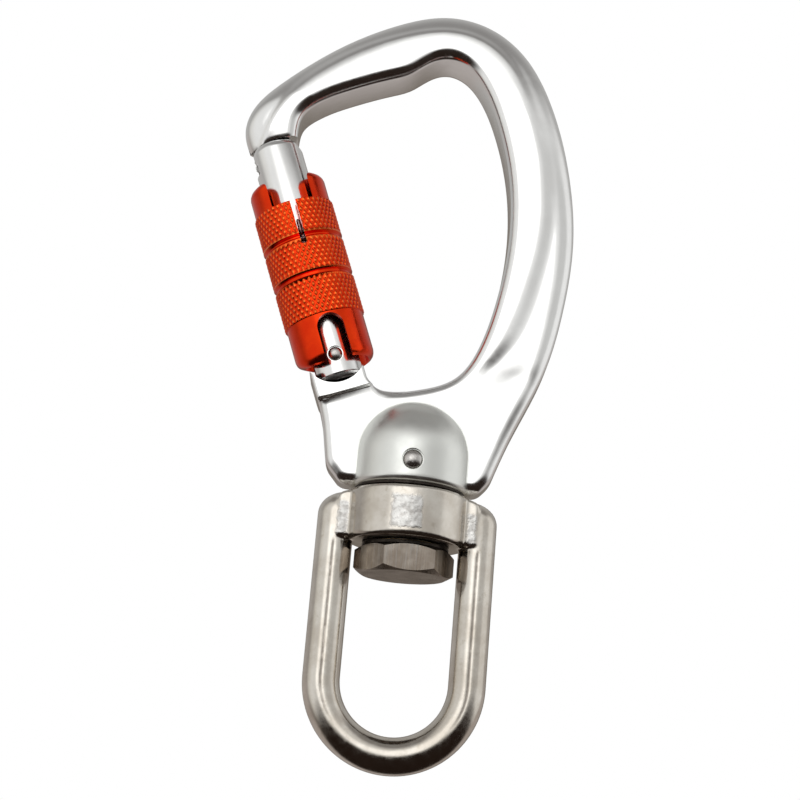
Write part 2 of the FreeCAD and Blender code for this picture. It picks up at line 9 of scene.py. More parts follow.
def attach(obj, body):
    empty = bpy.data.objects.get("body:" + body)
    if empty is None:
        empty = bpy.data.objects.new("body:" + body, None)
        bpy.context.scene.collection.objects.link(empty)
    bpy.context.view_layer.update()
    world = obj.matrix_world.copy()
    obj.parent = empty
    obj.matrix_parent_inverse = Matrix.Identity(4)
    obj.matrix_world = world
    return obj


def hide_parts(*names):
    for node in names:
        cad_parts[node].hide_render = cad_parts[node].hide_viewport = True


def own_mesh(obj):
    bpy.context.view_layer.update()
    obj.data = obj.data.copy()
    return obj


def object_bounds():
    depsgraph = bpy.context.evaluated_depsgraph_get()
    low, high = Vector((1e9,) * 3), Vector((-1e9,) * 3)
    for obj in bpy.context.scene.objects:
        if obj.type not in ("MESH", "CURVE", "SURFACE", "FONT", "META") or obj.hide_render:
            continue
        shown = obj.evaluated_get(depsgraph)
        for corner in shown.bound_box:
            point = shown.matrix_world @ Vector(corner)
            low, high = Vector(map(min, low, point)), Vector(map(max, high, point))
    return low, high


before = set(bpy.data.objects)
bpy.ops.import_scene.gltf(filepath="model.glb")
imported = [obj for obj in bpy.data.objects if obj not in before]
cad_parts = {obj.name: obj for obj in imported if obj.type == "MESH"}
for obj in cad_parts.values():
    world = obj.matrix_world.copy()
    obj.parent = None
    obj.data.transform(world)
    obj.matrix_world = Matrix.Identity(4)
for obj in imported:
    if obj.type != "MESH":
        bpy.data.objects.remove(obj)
cad_low, cad_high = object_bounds()

# Outlines and sizes are in millimetres, as on a drawing, and turn into metres in add_mesh().
MM = 0.001
NEAREST_BATCH = 2000      # points compared with a line at one time

# --- hook: the forging's outline in the mid plane, and its half thicknesses ---
OUTER_EDGE = [(-41.1, -24.5), (-42.5, -20.6), (-41.2, -14.6), (-35.5, -7.8), (-22.8, 2.3),
              (-10.9, 8.6), (0.1, 11.4), (10.6, 9.0), (18.8, 2.0), (24.1, -7.7), (28.8, -23.6),
              (30.7, -40.0), (29.3, -56.1), (26.1, -70.0), (20.0, -84.5), (16.4, -94.4)]
HUB_BOTTOM = -97.1
HUB_CORNERS = [(13.9, HUB_BOTTOM), (-14.6, HUB_BOTTOM)]
HUB_LEFT = [(-17.9, -93.3), (-18.7, -88.3), (-19.5, -84.0), (-20.3, -81.2)]
INNER_EDGE = [(-30.95, -20.66), (-30.2, -16.6), (-26.9, -13.1), (-19.7, -9.3), (-11.3, -6.0),
              (-7.1, -4.3), (-3.3, -1.5), (0.7, 0.0), (4.8, -1.4), (8.1, -4.9), (12.3, -13.5),
              (15.9, -27.2), (16.7, -41.3), (14.8, -55.9), (12.2, -65.2), (7.6, -72.5),
              (-0.1, -75.7), (-6.4, -76.7), (-8.3, -76.5), (-9.6, -75.9)]
RIBS = [((-30.95, -20.66), (-41.1, -24.5)), ((-30.2, -16.6), (-42.4, -19.0)),
        ((-26.9, -13.1), (-37.5, -9.8)), ((-11.3, -6.0), (-14.5, 7.0)), ((0.7, 0.0), (0.1, 11.4)),
        ((8.1, -4.9), (16.5, 4.5)), ((12.3, -13.5), (24.1, -7.7)), ((15.9, -27.2), (29.2, -26.0)),
        ((16.7, -41.3), (30.7, -42.0)), ((14.8, -55.9), (28.5, -60.0)),
        ((12.2, -65.2), (24.8, -73.5)), ((7.6, -72.5), (15.2, -96.0)), ((-0.1, -75.7), (0.0, -97.1)),
        ((-6.0, -76.7), (-16.5, -96.0))]
# Along the inside of bow and spine a ridge stands proud of the forging's plate. It ends at this
# line, in a wall that slopes down to the plate: x, z, half the slope's width, share of the height.
RIDGE = [(-40.0, -27.5, 0.5, 1.0), (-38.4, -22.2, 0.5, 1.0), (-37.4, -19.4, 0.55, 1.0),
         (-35.9, -16.0, 0.8, 1.0), (-33.2, -11.2, 1.2, 1.0), (-26.0, -4.0, 1.2, 1.0),
         (-17.0, 1.6, 1.0, 1.0), (-8.0, 5.2, 0.9, 1.0), (0.5, 6.7, 0.9, 1.0), (8.2, 5.0, 0.95, 1.0),
         (13.9, 0.5, 1.1, 1.0), (17.8, -6.0, 1.25, 1.0), (20.8, -14.0, 1.45, 1.0),
         (22.9, -21.0, 1.6, 1.0), (24.1, -28.0, 1.75, 1.0), (24.6, -35.0, 1.85, 1.0),
         (24.1, -42.3, 1.85, 1.0), (22.7, -49.9, 1.9, 1.0), (20.9, -57.0, 1.95, 1.0),
         (18.5, -63.3, 1.8, 1.0), (15.3, -68.4, 1.4, 0.75), (12.0, -72.4, 1.3, 0.2),
         (8.0, -76.5, 3.0, 0.0), (2.0, -80.5, 4.0, 0.0)]
DIMPLE_PLACE, DIMPLE_TURN = (19.9, -72.8), math.radians(25)
DIMPLE_SIZE, DIMPLE_DEPTH = (4.8, 2.8), 0.36
# Rounding along the outline: its width and depth at these heights.
ROUND_HEIGHTS = [-97.5, -95.0, -88.0, -72.0, -50.0, -20.0, -2.0]
ROUND_WIDTHS = [2.2, 2.3, 2.4, 3.0, 3.9, 5.4, 7.4]
ROUND_DEPTHS = [2.4, 2.5, 2.5, 2.7, 3.1, 3.7, 4.5]
SPINE_HALF, HUB_HALF, NECK_HALF, RIDGE_HEIGHT = 6.2, 4.7, 5.7, 0.62
STEP_ROUND = 0.4          # length of the neck's step itself
INNER_ROUND = 2.3
NOSE_TAPER, NOSE_THINNING, NOSE_ROUND, NOSE_END = 9.0, 1.1, 0.12, 50.52
# Rows of the forging's mesh that bend to the nose's end and to the seat, and columns over its
# inner rounding, its face and its outer rounding.
NOSE_ROWS, SEAT_ROWS = 14, 14
INNER_COLUMNS, FACE_COLUMNS, OUTER_COLUMNS = 10, 44, 22
ON_AXIS = 0.001           # radius at which a turned outline meets its axis
BOSS_RADIUS, BOSS_CENTRE_Z = 12.3, -90.3
RUN_OUT_START, RUN_OUT_TURN, RUN_OUT_LENGTH = (9.5, -87.6), math.radians(40.0), 26.0

# --- gate and sleeve, measured from the hinge along and across the gate ---
HINGE = Vector((-18.0, 0.0, -70.0))
GATE_TILT = math.radians(20.574)
GATE_AXIS = Vector((-math.sin(GATE_TILT), 0, math.cos(GATE_TILT)))
GATE_SIDE = Vector((math.cos(GATE_TILT), 0, math.sin(GATE_TILT)))
SEAT_RADIUS = 6.3
NECK_INNER, NECK_OUTER, OUTER_HORN_TOP, NECK_STEP = 5.0, 6.2, -2.3, -8.2
NECK_RIBS = [((8.2, NECK_STEP - 2.2), (-6.1, NECK_STEP - 2.0)),
             ((5.75, NECK_STEP), (-6.2, NECK_STEP))]
STEP_LENGTH, STEP_FOOT = 2.1, 0.36      # the slope at the foot of the neck's step
TANG_LEFT, TANG_RIGHT, TANG_BOTTOM, TANG_HALF = -3.2, 4.2, -7.5, 2.3
CAM_RADIUS, CAM_RISE, CAM_SPAN = 4.2, 2.9, (-0.7, 0.74)
# The nose's key and its pocket in the gate, each a stem with a wider head: distances from the
# hinge, places across the gate, and half the depth.
KEY_STEM, KEY_HEAD = (46.6, 51.4, -4.5, 2.5, 1.5), (44.9, 46.9, -4.5, 2.5, 2.3)
POCKET_STEM, POCKET_HEAD = (46.0, 56.0, -9.0, 3.2, 1.8), (44.6, 47.2, -9.0, 3.2, 2.6)
BARREL_RADIUS, BARREL_FOOT, BARREL_TOP, HEEL_RADIUS = 5.5, -4.3, 50.2, 6.0
FORK_HALF, FORK_TOP, SHOULDER_TURN = 2.6, 7.2, math.radians(52)
RIVET_RADIUS, RIVET_HALF = 1.5, 5.1
SLEEVE_BORE, TOP_BORE, CHAMBER_TOP = 6.9, 6.0, 29.5
SLEEVE_BOTTOM, SLEEVE_TOP, NOTCH_FLOOR, SKIRT_TOP = -1.5, 41.0, 34.5, 8.5
BAND_RADIUS, EAR_RADIUS, SKIRT_RADIUS = 8.75, 8.3, 8.35
GROOVES, GROOVE_HALF, GROOVE_DEPTH = (17.5, 26.1), 0.65, 0.62
NOTCH_HALF, SLIT_HALF, SLIT_FOOT = 4.5, 0.6, 24.3
ARCH_HALF, ARCH_TOP, ARCH_TURN = 2.85, 8.2, math.radians(4)
KNURLS_ROUND, KNURL_STEPS, KNURL_DEPTH = 46, 8, 0.23
KNURL_PITCH = 2.0         # height of one diamond
# Springs: radius, wire, numbers of turns from the foot, and the wire's height at those turns.
SLEEVE_SPRING = (6.2, 0.8, [0, 1, 4.15, 5.75], [18.45, 19.3, 25.79, 27.15])
GATE_SPRING = (1.9, 0.6, [0, 1, 12, 13], [13.7, 14.35, 39.0, 39.65])
COIL_STEPS = 40           # points in one turn

# --- swivel ---
RING_RADIUS, RING_TOP, RING_BOTTOM, BUSH_RADIUS = 12.6, -97.8, -108.45, 7.5
LEG_OUTER, LEG_INNER, LEG_HALF_DEPTH, BOW_CENTRE_Z = 18.6, 10.95, 4.3, -136.43
LEG_MIDDLE, LEG_HALF = (LEG_OUTER + LEG_INNER) / 2, (LEG_OUTER - LEG_INNER) / 2
SEAM_TOP, SEAM_END = -108.5, math.radians(45)     # height, and turn round the bow
SEAM_HALF, SEAM_DEPTH = 0.34, 0.13
CROSS_PIN_Z, CROSS_PIN_RADIUS, CROSS_PIN_HALF = -92.7, 1.99, 11.55
# Rough patches on the bail's front, each from (x, z) to (x, z).
PATCHES = [((-3.7, -107.0), (2.9, -100.0)), ((-14.6, -108.0), (-11.9, -100.6)),
           ((12.0, -108.0), (14.4, -101.2))]

# --- camera ---
CAMERA_PLACE = Vector((-0.003187, -0.34002, -0.169156))
ELEVATION, ROLL, AZIMUTH = 15.097, 4.907, -0.078
LENS = 75.0


# ---------------------------------------------------------------- materials
class Nodes:
    """A node tree with short ways to build on it."""

    def __init__(self, tree):
        self.tree = tree

    def node(self, kind, **settings):
        made = self.tree.nodes.new(kind)
        for key, value in settings.items():
            setattr(made, key, value)
        return made

    def link(self, source, target):
        self.tree.links.new(source, target)

    def split(self, vector):
        """The X, Y and Z of a vector."""
        axes = self.node("ShaderNodeSeparateXYZ")
        self.link(vector, axes.inputs[0])
        return axes.outputs[0], axes.outputs[1], axes.outputs[2]

    def maths(self, operation, *values):
        """One Math node; each value is a socket or a float."""
        made = self.node("ShaderNodeMath", operation=operation)
        for socket, value in zip(made.inputs, values):
            if isinstance(value, float):
                socket.default_value = value
            else:
                self.link(value, socket)
        return made.outputs["Value"]

    def times(self, first, *others):
        """The product of several values."""
        for other in others:
            first = self.maths("MULTIPLY", first, other)
        return first

    def spread(self, value, low, high, start=0.3, end=0.7):
        """Map a value from start to end smoothly onto low to high."""
        ramp = self.node("ShaderNodeMapRange", interpolation_type="SMOOTHSTEP")
        for socket, number in (("From Min", start), ("From Max", end), ("To Min", low), ("To Max", high)):
            ramp.inputs[socket].default_value = number
        self.link(value, ramp.inputs["Value"])
        return ramp.outputs["Result"]

    def mixed(self, factor, first, second):
        """A colour between first and second; each is a socket or three numbers."""
        mix = self.node("ShaderNodeMix", data_type="RGBA")
        for socket, colour in ((6, first), (7, second)):
            if isinstance(colour, tuple):
                mix.inputs[socket].default_value = (*colour, 1)
            else:
                self.link(colour, mix.inputs[socket])
        self.link(factor, mix.inputs[0])
        return mix.outputs[2]


class Shader(Nodes):
    """Builds one material; object coordinates are in millimetres."""

    def __init__(self, name, colour, metallic=1.0, roughness=0.3):
        self.material = bpy.data.materials.new(name)
        self.material.use_nodes = True
        super().__init__(self.material.node_tree)
        self.surface = self.tree.nodes["Principled BSDF"]
        self.surface.inputs["Base Color"].default_value = (*colour, 1)
        self.surface.inputs["Metallic"].default_value = metallic
        self.surface.inputs["Roughness"].default_value = roughness
        self.place = self.node("ShaderNodeTexCoord").outputs["Object"]

    def scaled(self, stretch=(1, 1, 1), turn=(0, 0, 0)):
        """Object coordinates in millimetres, divided by stretch."""
        mapping = self.node("ShaderNodeMapping")
        mapping.inputs["Rotation"].default_value = turn
        mapping.inputs["Scale"].default_value = [1 / (MM * s) for s in stretch]
        self.link(self.place, mapping.inputs["Vector"])
        return mapping.outputs["Vector"]

    def noise(self, size, detail=2.0, roughness=0.5, stretch=(1, 1, 1), turn=(0, 0, 0)):
        """Noise whose blobs are about size millimetres across."""
        texture = self.node("ShaderNodeTexNoise")
        texture.inputs["Scale"].default_value = 1 / size
        texture.inputs["Detail"].default_value = detail
        texture.inputs["Roughness"].default_value = roughness
        self.link(self.scaled(stretch, turn), texture.inputs["Vector"])
        return texture.outputs["Fac"]

    def mottled(self, first, second, *settings):
        """Two tones in soft blotches, after a noise with these settings."""
        return self.mixed(self.spread(self.noise(*settings), 0.0, 1.0), first, second)

    def gate_radius(self):
        """Distance from the gate's axis in millimetres."""
        turn = Matrix.Rotation(GATE_TILT, 3, "Y")
        mapping = self.node("ShaderNodeMapping")
        mapping.inputs["Location"].default_value = -(turn @ HINGE)
        mapping.inputs["Rotation"].default_value = (0, GATE_TILT, 0)
        mapping.inputs["Scale"].default_value = [1 / MM] * 3
        self.link(self.place, mapping.inputs["Vector"])
        flat = self.node("ShaderNodeVectorMath", operation="MULTIPLY")
        flat.inputs[1].default_value = (1, 1, 0)
        length = self.node("ShaderNodeVectorMath", operation="LENGTH")
        self.link(mapping.outputs["Vector"], flat.inputs[0])
        self.link(flat.outputs["Vector"], length.inputs[0])
        return length.outputs["Value"]

    def boss(self):
        """1 on the domed boss, 0 on the rest of the forging."""
        x, y, z = self.split(self.scaled())
        above = self.maths("MAXIMUM", self.maths("SUBTRACT", z, BOSS_CENTRE_Z), 0.0)
        squares = self.times(above, above)
        for axis in (x, y):
            squares = self.maths("ADD", squares, self.times(axis, axis))
        return self.spread(self.maths("SQRT", squares), 1.0, 0.0, BOSS_RADIUS + 0.05, BOSS_RADIUS + 0.5)

    def seam(self):
        """1 along the middle line of the stirrup's legs, 0 beside it and round the bow; it places the
        painted shade in the seam.
        """
        x, _, z = self.split(self.scaled())
        below = self.maths("MINIMUM", self.maths("SUBTRACT", z, BOW_CENTRE_Z), 0.0)
        radius = self.maths("SQRT", self.maths("ADD", self.times(x, x), self.times(below, below)))
        off = self.maths("ABSOLUTE", self.maths("SUBTRACT", radius, LEG_MIDDLE))
        line = self.spread(off, 0.8, 0.0, 0.10, 0.38)
        under_ring = self.spread(z, 1.0, 0.0, RING_BOTTOM - 1.2, RING_BOTTOM)
        fade = self.spread(z, 0.0, 1.0, BOW_CENTRE_Z - 9.5, BOW_CENTRE_Z - 5.0)
        broken = self.spread(self.noise(3.0, 3.0, 0.6), 0.55, 0.9, 0.35, 0.5)
        return self.times(line, under_ring, fade, broken)

    def patch(self, x, z, ragged, low, high):
        """1 between two (x, z) corners on the casting's front, fading out over a ragged edge."""
        inside = []
        for axis, start, end in ((x, low[0], high[0]), (z, low[1], high[1])):
            off = self.maths("ABSOLUTE", self.maths("SUBTRACT", axis, (start + end) / 2))
            half = (end - start) / 2
            inside.append(self.spread(self.maths("ADD", off, ragged), 1.0, 0.0, half - 0.7, half + 0.1))
        return self.times(*inside)

    def patches(self):
        """1 on the rough patches of the casting's front."""
        x, y, z = self.split(self.scaled())
        ragged = self.spread(self.noise(1.5, 4.0, 0.6), -0.5, 0.5, 0.0, 1.0)
        first, *others = [self.patch(x, z, ragged, low, high) for low, high in PATCHES]
        for other in others:
            first = self.maths("ADD", first, other)
        return self.times(first, self.spread(y, 1.0, 0.0, -4.0, -3.0))

    def colour(self, source):
        self.link(source, self.surface.inputs["Base Color"])

    def roughness(self, source):
        self.link(source, self.surface.inputs["Roughness"])

    def bumps(self, *layers):
        """Stack bump layers, each a height socket with its depth in millimetres."""
        below = None
        for height, depth in layers:
            bump = self.node("ShaderNodeBump")
            bump.inputs["Strength"].default_value = 1.0
            bump.inputs["Distance"].default_value = depth * MM
            self.link(height, bump.inputs["Height"])
            if below:
                self.link(below, bump.inputs["Normal"])
            below = bump.outputs["Normal"]
        self.link(below, self.surface.inputs["Normal"])


def polished_aluminium():
    """Polished forging with smudges and hairline scratches; its domed boss is satin."""
    s = Shader("polished_aluminium", (0.89, 0.89, 0.885), roughness=0.16)
    scratch = s.noise(0.5, 3.0, 0.6, stretch=(0.35, 1.0, 14.0), turn=(0, 0.3, 0))
    polished = s.mottled((0.90, 0.90, 0.895), (0.86, 0.855, 0.85), 9.0, 4.0, 0.6)
    boss = s.boss()
    s.colour(s.mixed(boss, polished, (0.83, 0.84, 0.81)))
    s.roughness(s.maths("ADD", s.spread(s.noise(3.0, 5.0, 0.65), 0.13, 0.22), s.times(boss, 0.17)))
    s.bumps((s.noise(6.0, 2.0, 0.4), 0.03), (scratch, 0.0012))
    return s.material


def anodised_sleeve():
    """Deep orange-red; the crests of the knurl are painted lighter, a painted highlight."""
    s = Shader("anodised_sleeve", (0.85, 0.045, 0.007), roughness=0.26)
    dyed = s.mottled((0.88, 0.050, 0.007), (0.78, 0.034, 0.006), 4.0, 4.0, 0.6)
    # painted highlight: the knurl's crests turn light orange near the band's full radius
    tip_highlight = s.spread(s.gate_radius(), 0.0, 0.85, BAND_RADIUS - 0.14, BAND_RADIUS - 0.01)
    s.colour(s.mixed(tip_highlight, dyed, (1.0, 0.22, 0.04)))
    s.roughness(s.spread(s.noise(0.6, 3.0, 0.6), 0.15, 0.25))
    s.bumps((s.noise(0.25, 2.0, 0.5), 0.003))
    return s.material


def cast_stainless():
    """Tumbled casting: a soft ripple, brown stains, and painted shade in the seam down the legs."""
    s = Shader("cast_stainless", (0.60, 0.56, 0.50), roughness=0.2)
    warm = s.mottled((0.74, 0.70, 0.64), (0.58, 0.53, 0.465), 7.0, 5.0, 0.65)
    stains = s.spread(s.noise(2.5, 6.0, 0.7), 0.0, 0.5, 0.58, 0.75)
    stained = s.mixed(stains, warm, (0.40, 0.35, 0.28))
    cut, pits = s.patches(), s.noise(1.3, 5.0, 0.62)
    pitted = s.mixed(s.spread(pits, 0.0, 1.0, 0.30, 0.60), (0.47, 0.45, 0.43), (0.76, 0.75, 0.73))
    # the near-black along the seam is painted shade, darkening its groove
    s.colour(s.mixed(s.seam(), s.mixed(cut, stained, pitted), (0.11, 0.09, 0.075)))
    s.roughness(s.maths("ADD", s.spread(s.noise(1.6, 5.0, 0.65), 0.12, 0.24), s.times(cut, 0.14)))
    s.bumps((s.noise(4.5, 3.0, 0.5, stretch=(1, 1, 3)), 0.06), (s.noise(0.45, 4.0, 0.6), 0.005),
            (s.times(cut, pits), 0.12))
    return s.material


def bolt_steel():
    s = Shader("bolt_steel", (0.36, 0.32, 0.28), roughness=0.32)
    streak = s.noise(0.35, 3.0, 0.6, stretch=(1, 1, 30))
    base = s.mottled((0.42, 0.37, 0.32), (0.27, 0.225, 0.185), 3.5, 4.0, 0.6)
    s.colour(s.mixed(s.spread(streak, 0.0, 0.7, 0.52, 0.8), base, (0.60, 0.57, 0.54)))
    s.roughness(s.spread(streak, 0.25, 0.42))
    s.bumps((streak, 0.012), (s.noise(1.5, 4.0, 0.6), 0.02))
    return s.material


# Near-black steel for the thrust washers: painted shade for the dark gaps above and below the bail's
# ring.
def painted_shade_steel():
    s = Shader("painted_shade_steel", (0.045, 0.038, 0.033), roughness=0.4)
    s.colour(s.mottled((0.06, 0.05, 0.042), (0.03, 0.025, 0.022), 1.5, 4.0, 0.6))
    s.roughness(s.spread(s.noise(0.5, 4.0, 0.6), 0.32, 0.5))
    s.bumps((s.noise(0.5, 3.0, 0.5), 0.02))
    return s.material


def pin_steel():
    s = Shader("pin_steel", (0.62, 0.60, 0.58), roughness=0.25)
    s.colour(s.mottled((0.68, 0.66, 0.64), (0.50, 0.47, 0.45), 1.2, 4.0, 0.6))
    s.roughness(s.spread(s.noise(0.5, 4.0, 0.6), 0.2, 0.36))
    s.bumps((s.noise(0.8, 3.0, 0.5), 0.02))
    return s.material


def spring_steel():
    s = Shader("spring_steel", (0.34, 0.29, 0.29), roughness=0.35)
    s.colour(s.mottled((0.38, 0.33, 0.33), (0.22, 0.18, 0.18), 0.8, 4.0, 0.6))
    s.roughness(s.spread(s.noise(0.4, 3.0, 0.6), 0.28, 0.45))
    s.bumps((s.noise(0.3, 3.0, 0.5), 0.01))
    return s.material


def bush_brass():
    s = Shader("bush_brass", (0.70, 0.50, 0.22), roughness=0.3)
    s.colour(s.mottled((0.74, 0.54, 0.25), (0.55, 0.38, 0.17), 2.0, 4.0, 0.6))
    s.roughness(s.spread(s.noise(0.6, 3.0, 0.6), 0.24, 0.4))
    s.bumps((s.noise(0.25, 2.0, 0.5, stretch=(1, 1, 0.3)), 0.008))
    return s.material


def bushing_acetal():
    s = Shader("bushing_acetal", (0.03, 0.03, 0.032), metallic=0.0, roughness=0.45)
    s.colour(s.mottled((0.035, 0.035, 0.037), (0.02, 0.02, 0.021), 1.5, 3.0, 0.5))
    s.roughness(s.spread(s.noise(0.4, 3.0, 0.6), 0.38, 0.55))
    s.bumps((s.noise(0.3, 2.0, 0.5), 0.01))
    return s.material


MATERIALS = {
    make.__name__: make()
    for make in (polished_aluminium, anodised_sleeve, cast_stainless, bolt_steel, painted_shade_steel,
                 pin_steel, spring_steel, bush_brass, bushing_acetal)}


# ---------------------------------------------------------------- mesh helpers
def add_mesh(name, points, faces):
    """A mesh object from points in millimetres."""
    mesh = bpy.data.meshes.new(name)
    mesh.from_pydata([(p[0] * MM, p[1] * MM, p[2] * MM) for p in points], [], faces)
    made = bpy.data.objects.new(name, mesh)
    bpy.context.scene.collection.objects.link(made)
    return made


def outward(obj):
    """Point every face of a closed mesh outwards."""
    work = bmesh.new()
    work.from_mesh(obj.data)
    bmesh.ops.recalc_face_normals(work, faces=work.faces)
    work.to_mesh(obj.data)
    work.free()
    return obj


def bake_modifiers(obj):
    """Replace the mesh with what its modifiers make of it."""
    graph = bpy.context.evaluated_depsgraph_get()
    graph.update()
    mesh = bpy.data.meshes.new_from_object(obj.evaluated_get(graph))
    obj.modifiers.clear()
    old = obj.data
    obj.data = mesh
    bpy.data.meshes.remove(old)


def combine(obj, tools, operation):
    """Unite obj with closed tool meshes, or cut them away, and delete the tools."""
    for tool in tools:
        step = obj.modifiers.new("combine", "BOOLEAN")
        step.operation = operation
        step.solver = "MANIFOLD"
        step.object = tool
        bake_modifiers(obj)
        bpy.data.objects.remove(tool)


def finish_piece(obj, body, slot, *nodes, sharp=32.0, material=None):
    """Shade, paint and seat a piece, and let it stand for its CAD nodes."""
    obj.data.materials.clear()
    obj.data.materials.append(MATERIALS[material or slot])
    obj.data.shade_smooth()
    obj.data.set_sharp_from_angle(angle=math.radians(sharp))
    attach(obj, body)
    if nodes:
        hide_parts(*nodes)
    return obj


def grid_faces(rows, columns, start=0, close_rows=False, close_columns=False):
    """Quads over a grid of points stored row after row."""
    faces = []
    for i in range(rows if close_rows else rows - 1):
        for j in range(columns if close_columns else columns - 1):
            a, b = i % rows, (i + 1) % rows
            c, d = j % columns, (j + 1) % columns
            faces.append([start + a * columns + c, start + a * columns + d,
                          start + b * columns + d, start + b * columns + c])
    return faces


def revolve(name, profile, steps):
    """Turn a closed outline of (radius, z) about Z."""
    points = []
    for k in range(steps):
        angle = 2 * math.pi * k / steps
        points += [(r * math.cos(angle), r * math.sin(angle), z) for r, z in profile]
    faces = grid_faces(steps, len(profile), close_rows=True, close_columns=True)
    return outward(add_mesh(name, points, faces))


def block(name, low, high):
    """A box used as a cutting tool."""
    xs, ys, zs = zip(low, high)
    points = [(x, y, z) for x in xs for y in ys for z in zs]
    faces = [[0, 1, 3, 2], [4, 6, 7, 5], [0, 4, 5, 1], [2, 3, 7, 6], [0, 2, 6, 4], [1, 5, 7, 3]]
    return outward(add_mesh(name, points, faces))


def prism(name, outline, low, high):
    """An outline of (x, z) points pushed along Y."""
    count = len(outline)
    points = [(x, low, z) for x, z in outline] + [(x, high, z) for x, z in outline]
    faces = [list(range(count)), list(range(2 * count - 1, count - 1, -1))]
    faces += [[i, i + count, (i + 1) % count + count, (i + 1) % count] for i in range(count)]
    return outward(add_mesh(name, points, faces))


def arc(x, z, radius, start, end, steps):
    """Points on an arc about (x, z), from one angle to another in degrees."""
    angles = [math.radians(a) for a in np.linspace(start, end, steps + 1)]
    return [(x + radius * math.cos(a), z + radius * math.sin(a)) for a in angles]


def cross_hole(name, radius, low, high, z=0.0):
    """A round cutting tool along Y."""
    return prism(name, arc(0.0, z, radius, 0, 360, 48)[:-1], low, high)


def bore(radius, low, high, steps):
    """A round cutting tool along Z."""
    return revolve("bore", [(ON_AXIS, low), (radius, low), (radius, high), (ON_AXIS, high)], steps)


def to_gate(obj):
    """Move a mesh drawn about the hinge, +Z towards the nose, into the row frame."""
    obj.data.transform(Matrix.Translation(HINGE * MM) @ Matrix.Rotation(-GATE_TILT, 4, "Y"))
    return obj


def at_gate(side, t):
    """The (x, z) of a point across and along the gate."""
    p = HINGE + GATE_SIDE * side + GATE_AXIS * t
    return (p.x, p.z)


def spline(points, step=0.25):
    """Points about step apart on the natural cubic spline through the given ones."""
    p = np.array(points, float)
    chord = np.concatenate(([0.0], np.cumsum(np.linalg.norm(np.diff(p, axis=0), axis=1))))
    h = np.diff(chord)
    count = len(p)
    system, right = np.eye(count), np.zeros_like(p)
    for i in range(1, count - 1):
        system[i, i - 1:i + 2] = h[i - 1], 2 * (h[i - 1] + h[i]), h[i]
        right[i] = 6 * ((p[i + 1] - p[i]) / h[i] - (p[i] - p[i - 1]) / h[i - 1])
    bend = np.linalg.solve(system, right)
    u = np.linspace(0, chord[-1], int(chord[-1] / step) + 2)
    i = np.clip(np.searchsorted(chord, u, side="right") - 1, 0, count - 2)
    a, b = ((chord[i + 1] - u) / h[i])[:, None], ((u - chord[i]) / h[i])[:, None]
    width = h[i][:, None] ** 2 / 6
    return a * p[i] + b * p[i + 1] + ((a ** 3 - a) * bend[i] + (b ** 3 - b) * bend[i + 1]) * width


def even(points, step=0.25):
    """A polyline cut into steps of even length, with its lengths along the way."""
    p = np.array(points, float)
    along = np.concatenate(([0.0], np.cumsum(np.linalg.norm(np.diff(p, axis=0), axis=1))))
    u = np.linspace(0, along[-1], int(along[-1] / step) + 2)
    return np.stack([np.interp(u, along, p[:, k]) for k in range(p.shape[1])], 1), u


def softened(line, reach):
    """Round a polyline's corners by averaging over reach points to each side; the ends stay."""
    out = line.copy()
    for i in range(1, len(line) - 1):
        r = min(reach, i, len(line) - 1 - i)
        out[i] = line[i - r:i + r + 1].mean(axis=0)
    return out


def to_segment(points, start, end):
    """Distance from each point to its own straight segment."""
    run = end - start
    length = np.maximum((run * run).sum(axis=1), 1e-12)
    share = np.clip(((points - start) * run).sum(axis=1) / length, 0, 1)
    return np.linalg.norm(points - start - run * share[:, None], axis=1)


def nearest(points, line):
    """For each point, the index of the nearest sample of line and the distance to the line."""
    index = np.empty(len(points), int)
    for start in range(0, len(points), NEAREST_BATCH):
        part = slice(start, start + NEAREST_BATCH)
        away = points[part, None, :] - line[None, :, :]
        index[part] = (away ** 2).sum(axis=2).argmin(axis=1)
    before = to_segment(points, line[np.maximum(index - 1, 0)], line[index])
    after = to_segment(points, line[index], line[np.minimum(index + 1, len(line) - 1)])
    return index, np.minimum(before, after)


# ---------------------------------------------------------------- forged hook
def hook_lines():
    """The forging's inner and outer outline, from the nose round to the gate's seat."""
    horn_inner = -math.sqrt(SEAT_RADIUS ** 2 - NECK_INNER ** 2)
    outer = np.concatenate([spline(OUTER_EDGE), np.array(HUB_CORNERS), spline(HUB_LEFT)])
    outer = softened(even(outer)[0], 5)
    outer = np.concatenate([outer, [at_gate(-NECK_OUTER, -7.0), at_gate(-NECK_OUTER, OUTER_HORN_TOP)]])
    inner = np.concatenate([spline(INNER_EDGE),
                            [at_gate(NECK_INNER, -6.9), at_gate(NECK_INNER, horn_inner)]])
    return even(softened(even(inner)[0], 2)), even(outer)


def hook_stations(inner, outer):
    """Matching places along the two outlines, closer together at the neck's step."""
    (inner_line, inner_along), (outer_line, outer_along) = inner, outer
    ribs = RIBS + [(at_gate(*start), at_gate(*end)) for start, end in NECK_RIBS]
    ribs.append((tuple(inner_line[-1]), tuple(outer_line[-1])))
    s_in = inner_along[nearest(np.array([r[0] for r in ribs]), inner_line)[0]]
    s_out = outer_along[nearest(np.array([r[1] for r in ribs]), outer_line)[0]]
    s_in[-1], s_out[-1] = inner_along[-1], outer_along[-1]
    key = (s_in + s_out) / 2
    step_at, foot_at = key[-2], key[-3]
    body = np.arange(0, foot_at, 0.45)
    scoop = np.linspace(foot_at, step_at, 22)
    neck = np.linspace(step_at + 0.03, key[-1], 22)
    mean = np.concatenate([body, scoop, neck])

    def pick(line, along, stops):
        at = np.interp(mean, key, stops)
        return np.stack([np.interp(at, along, line[:, k]) for k in (0, 1)], 1)

    return pick(inner_line, inner_along, s_in), pick(outer_line, outer_along, s_out)


